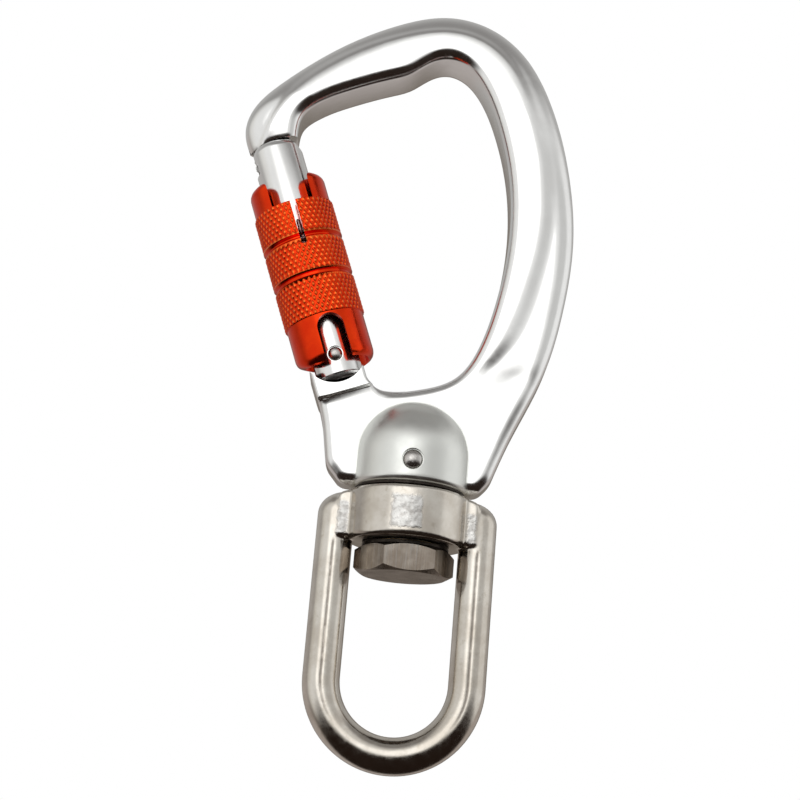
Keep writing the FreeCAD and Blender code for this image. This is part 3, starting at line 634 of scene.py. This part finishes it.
def outer_rounding(x, z):
    """Width and depth of the rounding along the outline, at a place on its outer side."""
    width = np.interp(z, ROUND_HEIGHTS, ROUND_WIDTHS)
    depth = np.interp(z, ROUND_HEIGHTS, ROUND_DEPTHS)
    bow_left = (x < 0) & (z > -40)
    width, depth = np.where(bow_left, 7.4, width), np.where(bow_left, 4.5, depth)
    hub_left = (x < -15.0) & (z < -78.0)
    width, depth = np.where(hub_left, 2.2, width), np.where(hub_left, 2.0, depth)
    neck = (x < -15.0) & (z > -80.5) & (z < -70.0)
    return np.where(neck, 0.8, width), np.where(neck, 0.8, depth)


def rounded_drop(gap, width, depth):
    """Loss of height near an edge, an elliptical quarter round."""
    return depth * (1 - np.sqrt(1 - np.clip(1 - gap / width, 0, 1) ** 2))


def ridge_share(points):
    """1 on the ridge along the inside of the forging, 0 on the plate, between them on the wall."""
    path = spline(RIDGE, 0.3)
    index, away = nearest(points, path[:, :2])
    along = np.gradient(path[:, :2], axis=0)
    offset = points - path[index, :2]
    outside = np.sign(offset[:, 0] * -along[index, 1] + offset[:, 1] * along[index, 0])
    share = np.clip(0.5 - outside * away / (2 * path[index, 2]), 0, 1)
    return share * share * (3 - 2 * share) * np.clip(path[index, 3], 0, 1)


def dimple(x, z):
    """A faint dent in the plate beside the ridge's lower end."""
    u, v = x - DIMPLE_PLACE[0], z - DIMPLE_PLACE[1]
    c, s = math.cos(DIMPLE_TURN), math.sin(DIMPLE_TURN)
    long, wide = (u * c + v * s) / DIMPLE_SIZE[0], (v * c - u * s) / DIMPLE_SIZE[1]
    return DIMPLE_DEPTH * np.exp(-long ** 2 - wide ** 2)


def half_thickness(points, inner_line, outer_line):
    """Half thickness of the forging at each (x, z) of its face."""
    x, z = points[:, 0], points[:, 1]
    across, up = x - RUN_OUT_START[0], z - RUN_OUT_START[1]
    along = across * math.sin(RUN_OUT_TURN) + up * math.cos(RUN_OUT_TURN)
    share = np.clip(along / RUN_OUT_LENGTH, 0, 1)
    share = share * share * (3 - 2 * share)
    plate = HUB_HALF + (SPINE_HALF - RIDGE_HEIGHT - HUB_HALF) * share
    height = plate + RIDGE_HEIGHT * share * ridge_share(points) - dimple(x, z)

    rel_x, rel_z = x - HINGE.x, z - HINGE.z
    t = rel_x * GATE_AXIS.x + rel_z * GATE_AXIS.z
    side = rel_x * GATE_SIDE.x + rel_z * GATE_SIDE.z
    near_neck = (t > NECK_STEP - 4) & (t < 5) & (side < 12) & (side > -9)
    down = np.clip((NECK_STEP - t) / (STEP_LENGTH + 0.02 * side), 0, 1)
    foot = HUB_HALF + STEP_FOOT * (1 - 0.06 * side) * (1 - down) ** 1.6
    below = np.clip((NECK_STEP - 0.05 - t) / STEP_ROUND, 0, 1)
    below = below * below * (3 - 2 * below)
    height = np.where(near_neck, NECK_HALF + (foot - NECK_HALF) * below, height)

    inner_gap = nearest(points, inner_line)[1]
    outer_index, outer_gap = nearest(points, outer_line)
    width, depth = outer_rounding(*outer_line[outer_index].T)
    ends = [np.tile(line[0], (len(points), 1)) for line in (inner_line, outer_line)]
    nose_gap = to_segment(points, *ends)
    near_nose = np.clip(1 - nose_gap / NOSE_TAPER, 0, 1)
    neck_share = np.clip((NECK_STEP - t) / 3.5, 0, 1)
    inner_round = np.where(near_neck, 0.6 + (INNER_ROUND - 0.6) * neck_share, INNER_ROUND)
    return (height - rounded_drop(inner_gap, inner_round, inner_round)
            - rounded_drop(outer_gap, width, depth) - rounded_drop(nose_gap, NOSE_ROUND, NOSE_ROUND)
            - NOSE_THINNING * near_nose ** 1.3)


def seat_bulge(f):
    """How far the gate's concave seat dips below the straight line between the horns."""
    side = NECK_INNER + f * (-math.sqrt(SEAT_RADIUS ** 2 - OUTER_HORN_TOP ** 2) - NECK_INNER)
    inner_t = -math.sqrt(SEAT_RADIUS ** 2 - NECK_INNER ** 2)
    chord = inner_t + f * (OUTER_HORN_TOP - inner_t)
    return -np.sqrt(SEAT_RADIUS ** 2 - np.minimum(side ** 2, SEAT_RADIUS ** 2)) - chord


def nose_bulge(row):
    """How far the nose's end lies from an arc about the hinge, which the gate's corner just clears."""
    away = row - (HINGE.x, HINGE.z)
    side, t = away @ (GATE_SIDE.x, GATE_SIDE.z), away @ (GATE_AXIS.x, GATE_AXIS.z)
    return np.sqrt(NOSE_END ** 2 - side ** 2) - t


def hook_shell():
    """The forging as two faces joined all round, before the boss is added."""
    inner, outer = hook_lines()
    start, end = hook_stations(inner, outer)
    width = np.linalg.norm(end - start, axis=1)
    near = 1 - np.cos(np.linspace(0, math.pi / 2, INNER_COLUMNS))
    far = 1 - np.cos(np.linspace(math.pi / 2, 0, OUTER_COLUMNS))
    rows = []
    last = len(start) - 1
    for k, (a, b, w) in enumerate(zip(start, end, width)):
        rim_in = min(INNER_ROUND * 1.05, w / 4)
        rim_out = min(float(outer_rounding(b[0], b[1])[0]) * 1.02, w / 1.5)
        middle = np.linspace(rim_in, w - rim_out, FACE_COLUMNS)
        d = np.concatenate([near * rim_in, middle[1:-1], w - far * rim_out])
        f = d / w
        row = a + (b - a) * f[:, None]
        pull = max(0.0, (k - (last - SEAT_ROWS)) / SEAT_ROWS) ** 2
        row[:, 0] += GATE_AXIS.x * seat_bulge(f) * pull
        row[:, 1] += GATE_AXIS.z * seat_bulge(f) * pull
        rows.append(row)
    flat = np.concatenate(rows)
    height = half_thickness(flat, inner[0], outer[0])
    columns, count = len(rows[0]), len(flat)
    bulge = nose_bulge(rows[0])
    for k in range(NOSE_ROWS):
        shift = bulge * (1 - k / NOSE_ROWS) ** 2
        flat[k * columns:(k + 1) * columns] += np.outer(shift, (GATE_AXIS.x, GATE_AXIS.z))
    front = [(x, -h, z) for (x, z), h in zip(flat, height)]
    back = [(x, h, z) for (x, z), h in zip(flat, height)]
    faces = grid_faces(len(rows), columns)
    other = [[i + count for i in reversed(face)] for face in faces]
    rim = [k * columns for k in range(len(rows))]
    rim += [last * columns + j for j in range(1, columns)]
    rim += [k * columns + columns - 1 for k in range(last - 1, -1, -1)]
    rim += [j for j in range(columns - 2, 0, -1)]
    wall = [[rim[i - 1], rim[i], rim[i] + count, rim[i - 1] + count] for i in range(len(rim))]
    return outward(add_mesh("hook_forging", front + back, faces + other + wall))


def boss_dome():
    """The domed boss round the bolt: a barrel with a spherical top and a small foot chamfer."""
    r, foot = BOSS_RADIUS, HUB_BOTTOM
    profile = [(ON_AXIS, foot), (r - 0.7, foot), (r - 0.25, foot + 0.35), (r - 0.05, foot + 0.8)]
    profile += [(r, foot + 1.0 + k * 0.6) for k in range(9)]
    profile += [(max(x, ON_AXIS), z) for x, z in arc(0.0, BOSS_CENTRE_Z, r, 0, 90, 32)]
    return revolve("boss", profile, 160)


def hinge_tang():
    """The tang inside the gate's fork, its top a spiral cam."""
    cam = []
    for angle in np.linspace(*CAM_SPAN, 25):
        radius = CAM_RADIUS + CAM_RISE * angle
        cam.append((radius * math.sin(angle), radius * math.cos(angle)))
    outline = [(TANG_LEFT, TANG_BOTTOM), (TANG_RIGHT, TANG_BOTTOM), (TANG_RIGHT, 2.4)]
    outline += cam[::-1] + [(TANG_LEFT, -0.8)]
    return to_gate(prism("tang", outline, -TANG_HALF, TANG_HALF))


def ring_sector(name, low, high, side_from, side_to, half):
    """Part of a ring about the hinge pin, between two places across the gate."""
    angles = np.linspace(side_from / high, side_to / high, 13)
    outer = [(high * math.sin(a), high * math.cos(a)) for a in angles]
    inner = [(low * math.sin(a), low * math.cos(a)) for a in angles[::-1]]
    return to_gate(prism(name, outer + inner, -half, half))


def hook_forging():
    hook = hook_shell()
    combine(hook, [boss_dome(), hinge_tang(), ring_sector("key_stem", *KEY_STEM),
                   ring_sector("key_head", *KEY_HEAD)], "UNION")
    sink_radius, sink_floor, clear = CROSS_PIN_RADIUS + 0.26, CROSS_PIN_HALF + 0.05, 14.0
    tools = [to_gate(cross_hole("rivet_hole", RIVET_RADIUS + 0.06, -8, 8)),
             cross_hole("pin_hole", CROSS_PIN_RADIUS + 0.03, -clear, clear, CROSS_PIN_Z),
             bore(6.0, -98, -83.5, 64),
             cross_hole("sink_front", sink_radius, -clear, -sink_floor, CROSS_PIN_Z),
             cross_hole("sink_back", sink_radius, sink_floor, clear, CROSS_PIN_Z)]
    combine(hook, tools, "DIFFERENCE")
    return finish_piece(hook, "hook", "polished_aluminium", "body_frame", sharp=38.0)


# ---------------------------------------------------------------- locking sleeve
def knurl_height(angle, t):
    """Depth below the band's surface: diamonds between two families of helical grooves."""
    depth = 1.0
    for hand in (1, -1):
        phase = angle * KNURLS_ROUND / (2 * math.pi) + hand * t / KNURL_PITCH
        depth = min(depth, abs(phase - round(phase)) * 2)
    return KNURL_DEPTH * (1 - min(1.0, depth * 1.15))


def sleeve_radius(angle, t):
    """Outside radius of the sleeve: ears, three knurled bands, two grooves and the smooth skirt."""
    if t >= NOTCH_FLOOR:
        return EAR_RADIUS
    if t <= SKIRT_TOP:
        return SKIRT_RADIUS
    off = min(abs(t - centre) for centre in GROOVES)
    if off < GROOVE_HALF:
        return BAND_RADIUS - GROOVE_DEPTH * min(1.0, (GROOVE_HALF - off) / (GROOVE_HALF * 0.6))
    fade = min(1.0, (off - GROOVE_HALF) / 0.5)
    return BAND_RADIUS - knurl_height(angle, t) * fade


def skirt_end(angle):
    """Lower end of the skirt: it rises at the outer side of the back."""
    share = max(0.0, math.cos(angle - math.radians(150))) ** 2
    return SLEEVE_BOTTOM + 2.0 * share


def sleeve_shell():
    """The sleeve's wall as one closed grid about the gate's axis."""
    steps = KNURLS_ROUND * KNURL_STEPS
    rise = KNURL_PITCH / KNURL_STEPS
    heights = [0.2 + 0.9 * k for k in range(9)] + [SKIRT_TOP, SKIRT_TOP + 0.12]
    t = SKIRT_TOP + 0.25
    while t < NOTCH_FLOOR - 0.2:
        heights.append(t)
        t += rise
    heights += [NOTCH_FLOOR - 0.12, NOTCH_FLOOR] + [NOTCH_FLOOR + 0.15 + 0.6 * k for k in range(9)]
    points = []
    foot = [(SLEEVE_BORE, 0.0), (SLEEVE_BORE + 0.25, -0.12), (7.3, -0.05), (7.65, 0.12), (7.95, 0.42),
            (8.18, 0.85), (8.31, 1.35)]
    top = [(EAR_RADIUS, 39.5), (EAR_RADIUS - 0.12, 40.0), (EAR_RADIUS - 0.38, 40.45),
           (EAR_RADIUS - 0.8, 40.8), (EAR_RADIUS - 1.3, 40.97), (EAR_RADIUS - 1.7, SLEEVE_TOP),
           (TOP_BORE + 0.2, 40.95), (TOP_BORE, 40.7), (TOP_BORE, CHAMBER_TOP),
           (SLEEVE_BORE, CHAMBER_TOP), (SLEEVE_BORE, 10.0)]
    for k in range(steps):
        angle = 2 * math.pi * k / steps
        end = skirt_end(angle)
        column = [(r, end + up) for r, up in foot]
        for h in heights:
            lifted = h if h > 7 else h + (end - SLEEVE_BOTTOM) * (1 - h / 7)
            r = SKIRT_RADIUS if h == SKIRT_TOP else sleeve_radius(angle, h)
            column.append((r, lifted))
        column += top
        points += [(r * math.cos(angle), r * math.sin(angle), z) for r, z in column]
    faces = grid_faces(steps, len(points) // steps, close_rows=True, close_columns=True)
    return outward(add_mesh("lock_sleeve", points, faces))


def arch_cutter(sign):
    """The round-topped slot over the rivet, with its rim broken by a small flare."""
    outline = [(-ARCH_HALF - 0.1, -5.0), (ARCH_HALF + 0.1, -5.0)]
    outline += arc(0.0, ARCH_TOP - ARCH_HALF, ARCH_HALF, 0, 180, 24)
    cutter = prism("arch", outline, *sorted((sign * 5.0, sign * 10.0)))
    cutter.data.transform(Matrix.Rotation(ARCH_TURN, 4, "Z"))
    return cutter


def lock_sleeve():
    sleeve = sleeve_shell()
    half, foot, top = SLIT_HALF, SLIT_FOOT, NOTCH_FLOOR + 1.0
    slit = [(-half, foot + 0.3), (0.25 - half, foot), (half - 0.25, foot), (half, foot + 0.3),
            (half, top), (-half, top)]
    combine(sleeve, [prism("notch", rounded_notch(), -10, 10), prism("slit", slit, -10, -5),
                     arch_cutter(-1), arch_cutter(1)], "DIFFERENCE")
    return finish_piece(to_gate(sleeve), "sleeve", "anodised_sleeve", "locking_sleeve", sharp=28.0)


def rounded_notch():
    """The notch between the two ears, its mouth flaring in a round and its floor nearly square."""
    half, floor, top, corner, mouth = NOTCH_HALF, NOTCH_FLOOR, SLEEVE_TOP + 1.0, 0.35, 1.6
    outline = arc(corner - half, floor + corner, corner, 180, 270, 4)
    outline += arc(half - corner, floor + corner, corner, 270, 360, 4)
    outline += arc(half + mouth, SLEEVE_TOP - mouth, mouth, 180, 90, 6)
    outline += [(half + mouth, top), (-half - mouth, top)]
    return outline + arc(-half - mouth, SLEEVE_TOP - mouth, mouth, 90, 0, 6)


def tube_along(name, path, radius, sides=14):
    """A round wire along a list of points, closed at both ends."""
    path = [Vector(p) for p in path]
    points = []
    side = None
    for i, p in enumerate(path):
        ahead = (path[min(i + 1, len(path) - 1)] - path[max(i - 1, 0)]).normalized()
        side = ahead.orthogonal() if side is None else side - ahead * side.dot(ahead)
        side.normalize()
        up = ahead.cross(side)
        ends = 0.55 if i in (0, len(path) - 1) else 1.0
        for k in range(sides):
            angle = 2 * math.pi * k / sides
            points.append(p + (side * math.cos(angle) + up * math.sin(angle)) * radius * ends)
    faces = grid_faces(len(path), sides, close_columns=True)
    faces += [list(range(sides)), list(range(len(points) - sides, len(points)))[::-1]]
    return outward(add_mesh(name, points, faces))


def coil_path(radius, end_turn, turns, heights):
    """Points along a coil whose middle line passes the heights at these turns."""
    path = []
    for k in range(int(turns[-1] * COIL_STEPS) + 1):
        turn = k / COIL_STEPS
        angle = 2 * math.pi * (turn - turns[-1] + end_turn)
        height = float(np.interp(turn, turns, heights))
        path.append((radius * math.cos(angle), radius * math.sin(angle), height))
    return path


def closing_spring(name, body, node, size, end_turn):
    """A coiled spring about the gate's axis, standing in for its CAD node."""
    radius, wire, turns, heights = size
    path = coil_path(radius, end_turn, turns, heights)
    coils = finish_piece(to_gate(tube_along(name, path, wire / 2, 12)), body, "spring_steel", node)
    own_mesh(coils)


def springs():
    """The sleeve's spring, between its seat and the clip, and the plunger's, inside the gate."""
    closing_spring("sleeve_spring_coils", "sleeve", "sleeve_spring", SLEEVE_SPRING, 4.75)
    closing_spring("gate_spring_coils", "gate", "gate_spring", GATE_SPRING, 13)


def spring_leg():
    """The spring's straight end, which shows in the slit."""
    path = [(0, -6.3, 27.0), (0, -6.8, 27.05), (0, -7.15, 27.3), (0, -7.3, 27.8)]
    path += [(0, -7.3, 28.3 + 0.4 * k) for k in range(6)]
    leg = to_gate(tube_along("sleeve_spring_leg", path, 0.42))
    finish_piece(leg, "sleeve", "spring_steel")


# ---------------------------------------------------------------- gate
def headed_pin(name, radius, half, height):
    """A pin along Y with a round domed head at both ends."""
    angles = np.linspace(0.001, math.pi / 2, 14)
    cap = [(radius * math.sin(a), half + height * math.cos(a)) for a in angles]
    shank = [(radius, y) for y in np.linspace(-half, half, 4)[1:-1]]
    pin = revolve(name, [(r, -y) for r, y in cap] + shank + cap[::-1], 56)
    pin.data.transform(Matrix.Rotation(math.pi / 2, 4, "X"))
    return pin


def gate_round():
    """The gate's barrel: chamfered top, round heel, fork, and pocket for the nose key."""
    r, foot, top = BARREL_RADIUS, BARREL_FOOT, BARREL_TOP
    profile = [(ON_AXIS, foot), (r - 0.25, foot), (r, foot + 0.25), (r, top - 1.4),
               (r - 0.08, top - 1.05), (r - 0.5, top - 0.15), (r - 0.7, top), (ON_AXIS, top)]
    gate = revolve("gate_round", profile, 128)
    heel = [(HEEL_RADIUS, 60.0), (-HEEL_RADIUS, 60.0)] + arc(0.0, 0.0, HEEL_RADIUS, 180, 360, 48)
    combine(gate, [prism("heel", heel, -8, 8)], "INTERSECT")
    shoulder = block("shoulder", (0, -8, 0), (6, 8, 6))
    corner = Matrix.Translation((3.4 * MM, 0, top * MM))
    shoulder.data.transform(corner @ Matrix.Rotation(SHOULDER_TURN, 4, "Y"))
    groove = [(5.0, 27.6), (7.0, 27.6), (7.0, 28.6), (5.0, 28.6)]
    tools = [shoulder, block("fork", (-9, -FORK_HALF, -9), (9, FORK_HALF, FORK_TOP)),
             bore(2.6, 5.0, 40.0, 48),
             revolve("clip_groove", groove, 128),
             block("keyway", (-1.1, 4.9, 16.7), (1.1, 7.0, 23.6)),
             cross_hole("rivet_hole", RIVET_RADIUS + 0.02, -8, 8),
             cross_hole("sink_front", RIVET_RADIUS + 0.2, -8, -RIVET_HALF),
             cross_hole("sink_back", RIVET_RADIUS + 0.2, RIVET_HALF, 8)]
    combine(gate, tools, "DIFFERENCE")
    pocket = [ring_sector("pocket_stem", *POCKET_STEM), ring_sector("pocket_head", *POCKET_HEAD)]
    combine(to_gate(gate), pocket, "DIFFERENCE")
    finish_piece(gate, "gate", "polished_aluminium", "gate_barrel", sharp=30.0)


def gate_rivet():
    rivet = to_gate(headed_pin("hinge_rivet", RIVET_RADIUS, RIVET_HALF, 0.85))
    finish_piece(rivet, "gate", "pin_steel", "gate_rivet")


def cross_pin():
    pin = headed_pin("swivel_pin", CROSS_PIN_RADIUS, CROSS_PIN_HALF, 1.25)
    pin.data.transform(Matrix.Translation((0, 0, CROSS_PIN_Z * MM)))
    finish_piece(pin, "hook", "pin_steel", "swivel_cross_pin")


# ---------------------------------------------------------------- swivel bail
def bar_section(steps=60, power=0.97):
    """Section of the stirrup's bar as (across, depth), + across towards the inside."""
    outline = []
    for k in range(steps):
        c, s = math.cos(2 * math.pi * k / steps), math.sin(2 * math.pi * k / steps)
        across = LEG_HALF * math.copysign(abs(c) ** power, c)
        outline.append((across, LEG_HALF_DEPTH * math.copysign(abs(s) ** power, s)))
    return outline


def leg_top():
    """The leg's rounded upper end: (x, z, scale) from the top down."""
    stations = []
    for angle in np.linspace(math.radians(82), 0, 18):
        scale = math.cos(angle) ** 0.8
        x = LEG_MIDDLE - (1 - scale) * LEG_HALF * 0.95
        stations.append((x, RING_TOP - 5.3 + 4.9 * math.sin(angle), scale))
    return stations


def stirrup_bar():
    """The U: down one leg, round the bow and up the other."""
    top = leg_top()
    low = top[-1][1]
    stations = [(x, z, 0.0, scale) for x, z, scale in top]
    stations += [(LEG_MIDDLE, z, 0.0, 1.0) for z in np.linspace(low, BOW_CENTRE_Z, 70)[1:]]
    for angle in np.linspace(0, math.pi, 66)[1:-1]:
        x, z = LEG_MIDDLE * math.cos(angle), BOW_CENTRE_Z - LEG_MIDDLE * math.sin(angle)
        stations.append((x, z, angle, 1.0))
    stations += [(-LEG_MIDDLE, z, math.pi, 1.0) for z in np.linspace(BOW_CENTRE_Z, low, 70)[:-1]]
    stations += [(-x, z, math.pi, scale) for x, z, scale in reversed(top)]
    points = []
    section = bar_section()
    for x, z, angle, scale in stations:
        inward = (-math.cos(angle), math.sin(angle))
        for across, depth in section:
            reach = across * scale
            points.append((x + inward[0] * reach, depth * scale, z + inward[1] * reach))
    count = len(section)
    faces = grid_faces(len(stations), count, close_columns=True)
    faces += [list(range(count)), list(range(len(points) - count, len(points)))[::-1]]
    return outward(add_mesh("bar", points, faces))


def web(side):
    """The flat-faced web that joins a leg to the ring; its top follows the leg's round end."""
    low, high = RING_BOTTOM + 0.25, RING_TOP - 0.45
    outline = [(9.0, low), (14.6, low), (14.6, high - 1.3), (13.8, high - 0.6),
               (12.6, high - 0.2), (9.0, high)]
    solid = prism("web", [(side * x, z) for x, z in outline], -4.5, 4.5)
    bevel = solid.modifiers.new("bevel", "BEVEL")
    bevel.width = 0.6 * MM
    bevel.segments = 3
    bevel.limit_method = "ANGLE"
    bevel.angle_limit = math.radians(40)
    bake_modifiers(solid)
    return solid


def ring_band():
    """The ring, with softened rims."""
    r, low, high = RING_RADIUS, RING_BOTTOM, RING_TOP
    profile = [(BUSH_RADIUS - 0.001, low), (r - 1.0, low), (r - 0.3, low + 0.2), (r, low + 0.8),
               (r, high - 0.8), (r - 0.25, high - 0.25), (r - 0.9, high), (BUSH_RADIUS - 0.001, high)]
    return revolve("bail_casting", profile, 160)


def soften_casting(obj, voxel, rounds):
    """Melt the united blocks into one casting with soft inner corners."""
    remesh = obj.modifiers.new("remesh", "REMESH")
    remesh.mode = "VOXEL"
    remesh.voxel_size = voxel * MM
    smooth = obj.modifiers.new("smooth", "SMOOTH")
    smooth.factor = 0.5
    smooth.iterations = rounds
    bake_modifiers(obj)


def roughen_patches(obj):
    """Rough places on the casting's front where its gates were cut off."""
    for v in obj.data.vertices:
        x, y, z = v.co / MM
        for low, high in PATCHES:
            edge = min(x - low[0], high[0] - x, z - low[1], high[1] - z)
            if y < -3.5 and edge > 0:
                depth = 0.04 + 0.06 * noise.fractal(Vector((x, y, z)) * 0.9, 1.0, 2.0, 2)
                v.co.y += depth * min(1.0, edge / 0.8) * MM


def press_seam(obj):
    """A fine uneven seam down the middle of both legs, front and back, fading round the bow."""
    for v in obj.data.vertices:
        x, y, z = v.co / MM
        if abs(y) < 3.0 or z > SEAM_TOP:
            continue
        round_bow = z < BOW_CENTRE_Z
        radius = math.hypot(x, z - BOW_CENTRE_Z) if round_bow else abs(x)
        turn = math.atan2(BOW_CENTRE_Z - z, abs(x)) if round_bow else 0.0
        fade = max(0.0, 1 - turn / SEAM_END) * min(1.0, (SEAM_TOP - z) / 2)
        off = (radius - LEG_MIDDLE) / SEAM_HALF
        depth = SEAM_DEPTH + 0.03 * noise.noise(Vector((x, 7, z)) * 0.6)
        v.co.y -= math.copysign(depth * math.exp(-off * off) * fade * MM, y)


def bail_casting():
    bail = ring_band()
    combine(bail, [web(1), web(-1), stirrup_bar()], "UNION")
    combine(bail, [bore(BUSH_RADIUS, -112.0, -97.0, 96)], "DIFFERENCE")
    soften_casting(bail, 0.28, 8)
    press_seam(bail)
    roughen_patches(bail)
    finish_piece(bail, "bail", "cast_stainless", "swivel_bail", sharp=60.0)


# ---------------------------------------------------------------- CAD nodes that stay
KEPT = {"gate_plunger": "bush_brass", "guide_pin": "pin_steel",
        "spring_clip": "spring_steel", "spring_seat": "bush_brass",
        "sleeve_bushing": "bushing_acetal", "swivel_bolt": "bolt_steel", "swivel_bush": "bush_brass",
        # the thrust washers' near-black is painted shade in the gaps at the ring
        "upper_thrust_washer": "painted_shade_steel", "lower_thrust_washer": "painted_shade_steel"}


def paint_cad_nodes():
    for name, material in KEPT.items():
        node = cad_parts[name]
        node.data.materials.clear()
        node.data.materials.append(MATERIALS[material])


# ---------------------------------------------------------------- light, floor, camera
class World(Nodes):
    """The studio: a gradient by direction, with a broad white front."""

    def __init__(self):
        world = bpy.data.worlds.new("studio")
        bpy.context.scene.world = world
        world.use_nodes = True
        world.node_tree.nodes.clear()
        super().__init__(world.node_tree)
        self.direction = self.node("ShaderNodeTexCoord").outputs["Generated"]
        _, self.y, self.z = self.split(self.direction)

    def ramp(self, value, start, end):
        """0 at start, 1 at end."""
        return self.spread(value, 0.0, 1.0, start, end)

    def toward(self, direction, start, end):
        """1 close to a direction, 0 away from it; start and end are cosines."""
        dot = self.node("ShaderNodeVectorMath", operation="DOT_PRODUCT")
        dot.inputs[1].default_value = Vector(direction).normalized()
        self.link(self.direction, dot.inputs[0])
        return self.ramp(dot.outputs["Value"], start, end)

    def finish(self, colour):
        """Reflections see the gradient; the camera sees plain white."""
        shade, plain = self.node("ShaderNodeBackground"), self.node("ShaderNodeBackground")
        plain.inputs["Color"].default_value = (1, 1, 1, 1)
        self.link(colour, shade.inputs["Color"])
        mix = self.node("ShaderNodeMixShader")
        self.link(self.node("ShaderNodeLightPath").outputs["Is Camera Ray"], mix.inputs[0])
        self.link(shade.outputs[0], mix.inputs[1])
        self.link(plain.outputs[0], mix.inputs[2])
        self.link(mix.outputs[0], self.node("ShaderNodeOutputWorld").inputs[0])


def studio_light():
    w = World()
    pinkish, shade, dark = (0.45, 0.41, 0.39), (0.20, 0.18, 0.165), (0.02, 0.013, 0.010)
    low = w.mixed(w.ramp(w.y, -0.1, 0.35), shade, pinkish)
    sky = w.mixed(w.ramp(w.y, -0.50, 0.65), (0.25, 0.242, 0.235), (0.47, 0.465, 0.455))
    base = w.mixed(w.ramp(w.z, -0.1, 0.3), low, sky)
    base = w.mixed(w.toward((0.1, 1.0, 0.10), 0.80, 0.97), base, (0.20, 0.175, 0.15))
    base = w.mixed(w.toward((-0.88, -0.6, 0.12), 0.66, 0.93), base, (0.74, 0.73, 0.70))
    base = w.mixed(w.toward((1.0, -0.15, 0.20), 0.75, 0.94), base, (0.88, 0.88, 0.87))
    front = w.times(w.ramp(w.y, -0.15, -0.55), w.ramp(w.z, 0.86, 0.56))
    base = w.mixed(front, base, (0.84, 0.84, 0.83))
    base = w.mixed(w.toward((0.70, -0.66, 0.28), 0.90, 0.975), base, (0.60, 0.60, 0.59))
    base = w.mixed(w.toward((-0.2, -0.95, 0.27), 0.88, 0.99), base, (1.55, 1.55, 1.53))
    w.finish(w.mixed(w.toward((0.12, -0.38, -0.90), 0.27, 0.53), base, dark))


def floor():
    """A plain pale floor well below the object; the metal does not mirror it."""
    size, drop = 3.0, cad_low.z - 0.45
    corners = [(-size, -size, drop), (size, -size, drop), (size, size, drop), (-size, size, drop)]
    plane = add_mesh("floor", [tuple(c / MM for c in p) for p in corners], [[0, 1, 2, 3]])
    shade = Shader("floor_paint", (0.86, 0.86, 0.85), metallic=0.0, roughness=0.7)
    shade.colour(shade.mottled((0.87, 0.87, 0.86), (0.84, 0.84, 0.83), 120.0))
    plane.data.materials.append(shade.material)
    plane.visible_glossy = False
    plane.visible_shadow = False


def soft_lamp():
    """One large overhead lamp, for the floor and the rough surfaces."""
    data = bpy.data.lights.new("softbox", "AREA")
    data.shape = "RECTANGLE"
    data.size, data.size_y = 1.6, 1.2
    data.energy = 14.0
    lamp = bpy.data.objects.new("softbox", data)
    lamp.location = (0.2, -0.5, 1.4)
    lamp.rotation_euler = (math.radians(20), 0, 0)
    lamp.visible_glossy = False
    bpy.context.scene.collection.objects.link(lamp)


def make_camera():
    a, e, r = (math.radians(v) for v in (AZIMUTH, ELEVATION, ROLL))
    look = Vector((math.sin(a) * math.cos(e), math.cos(a) * math.cos(e), math.sin(e)))
    level = Vector((math.cos(a), -math.sin(a), 0))
    up = level.cross(look)
    right = level * math.cos(r) + up * math.sin(r)
    top = up * math.cos(r) - level * math.sin(r)
    data = bpy.data.cameras.new("camera")
    data.lens = LENS
    data.clip_start = 0.01
    camera = bpy.data.objects.new("camera", data)
    bpy.context.scene.collection.objects.link(camera)
    turn = Matrix((right, top, -look)).transposed().to_4x4()
    camera.matrix_world = Matrix.Translation(CAMERA_PLACE) @ turn
    bpy.context.scene.camera = camera


make_camera()
studio_light()
soft_lamp()
floor()
hook_forging()
lock_sleeve()
springs()
spring_leg()
gate_round()
gate_rivet()
cross_pin()
bail_casting()
paint_cad_nodes()
bpy.context.scene.view_settings.view_transform = "Standard"
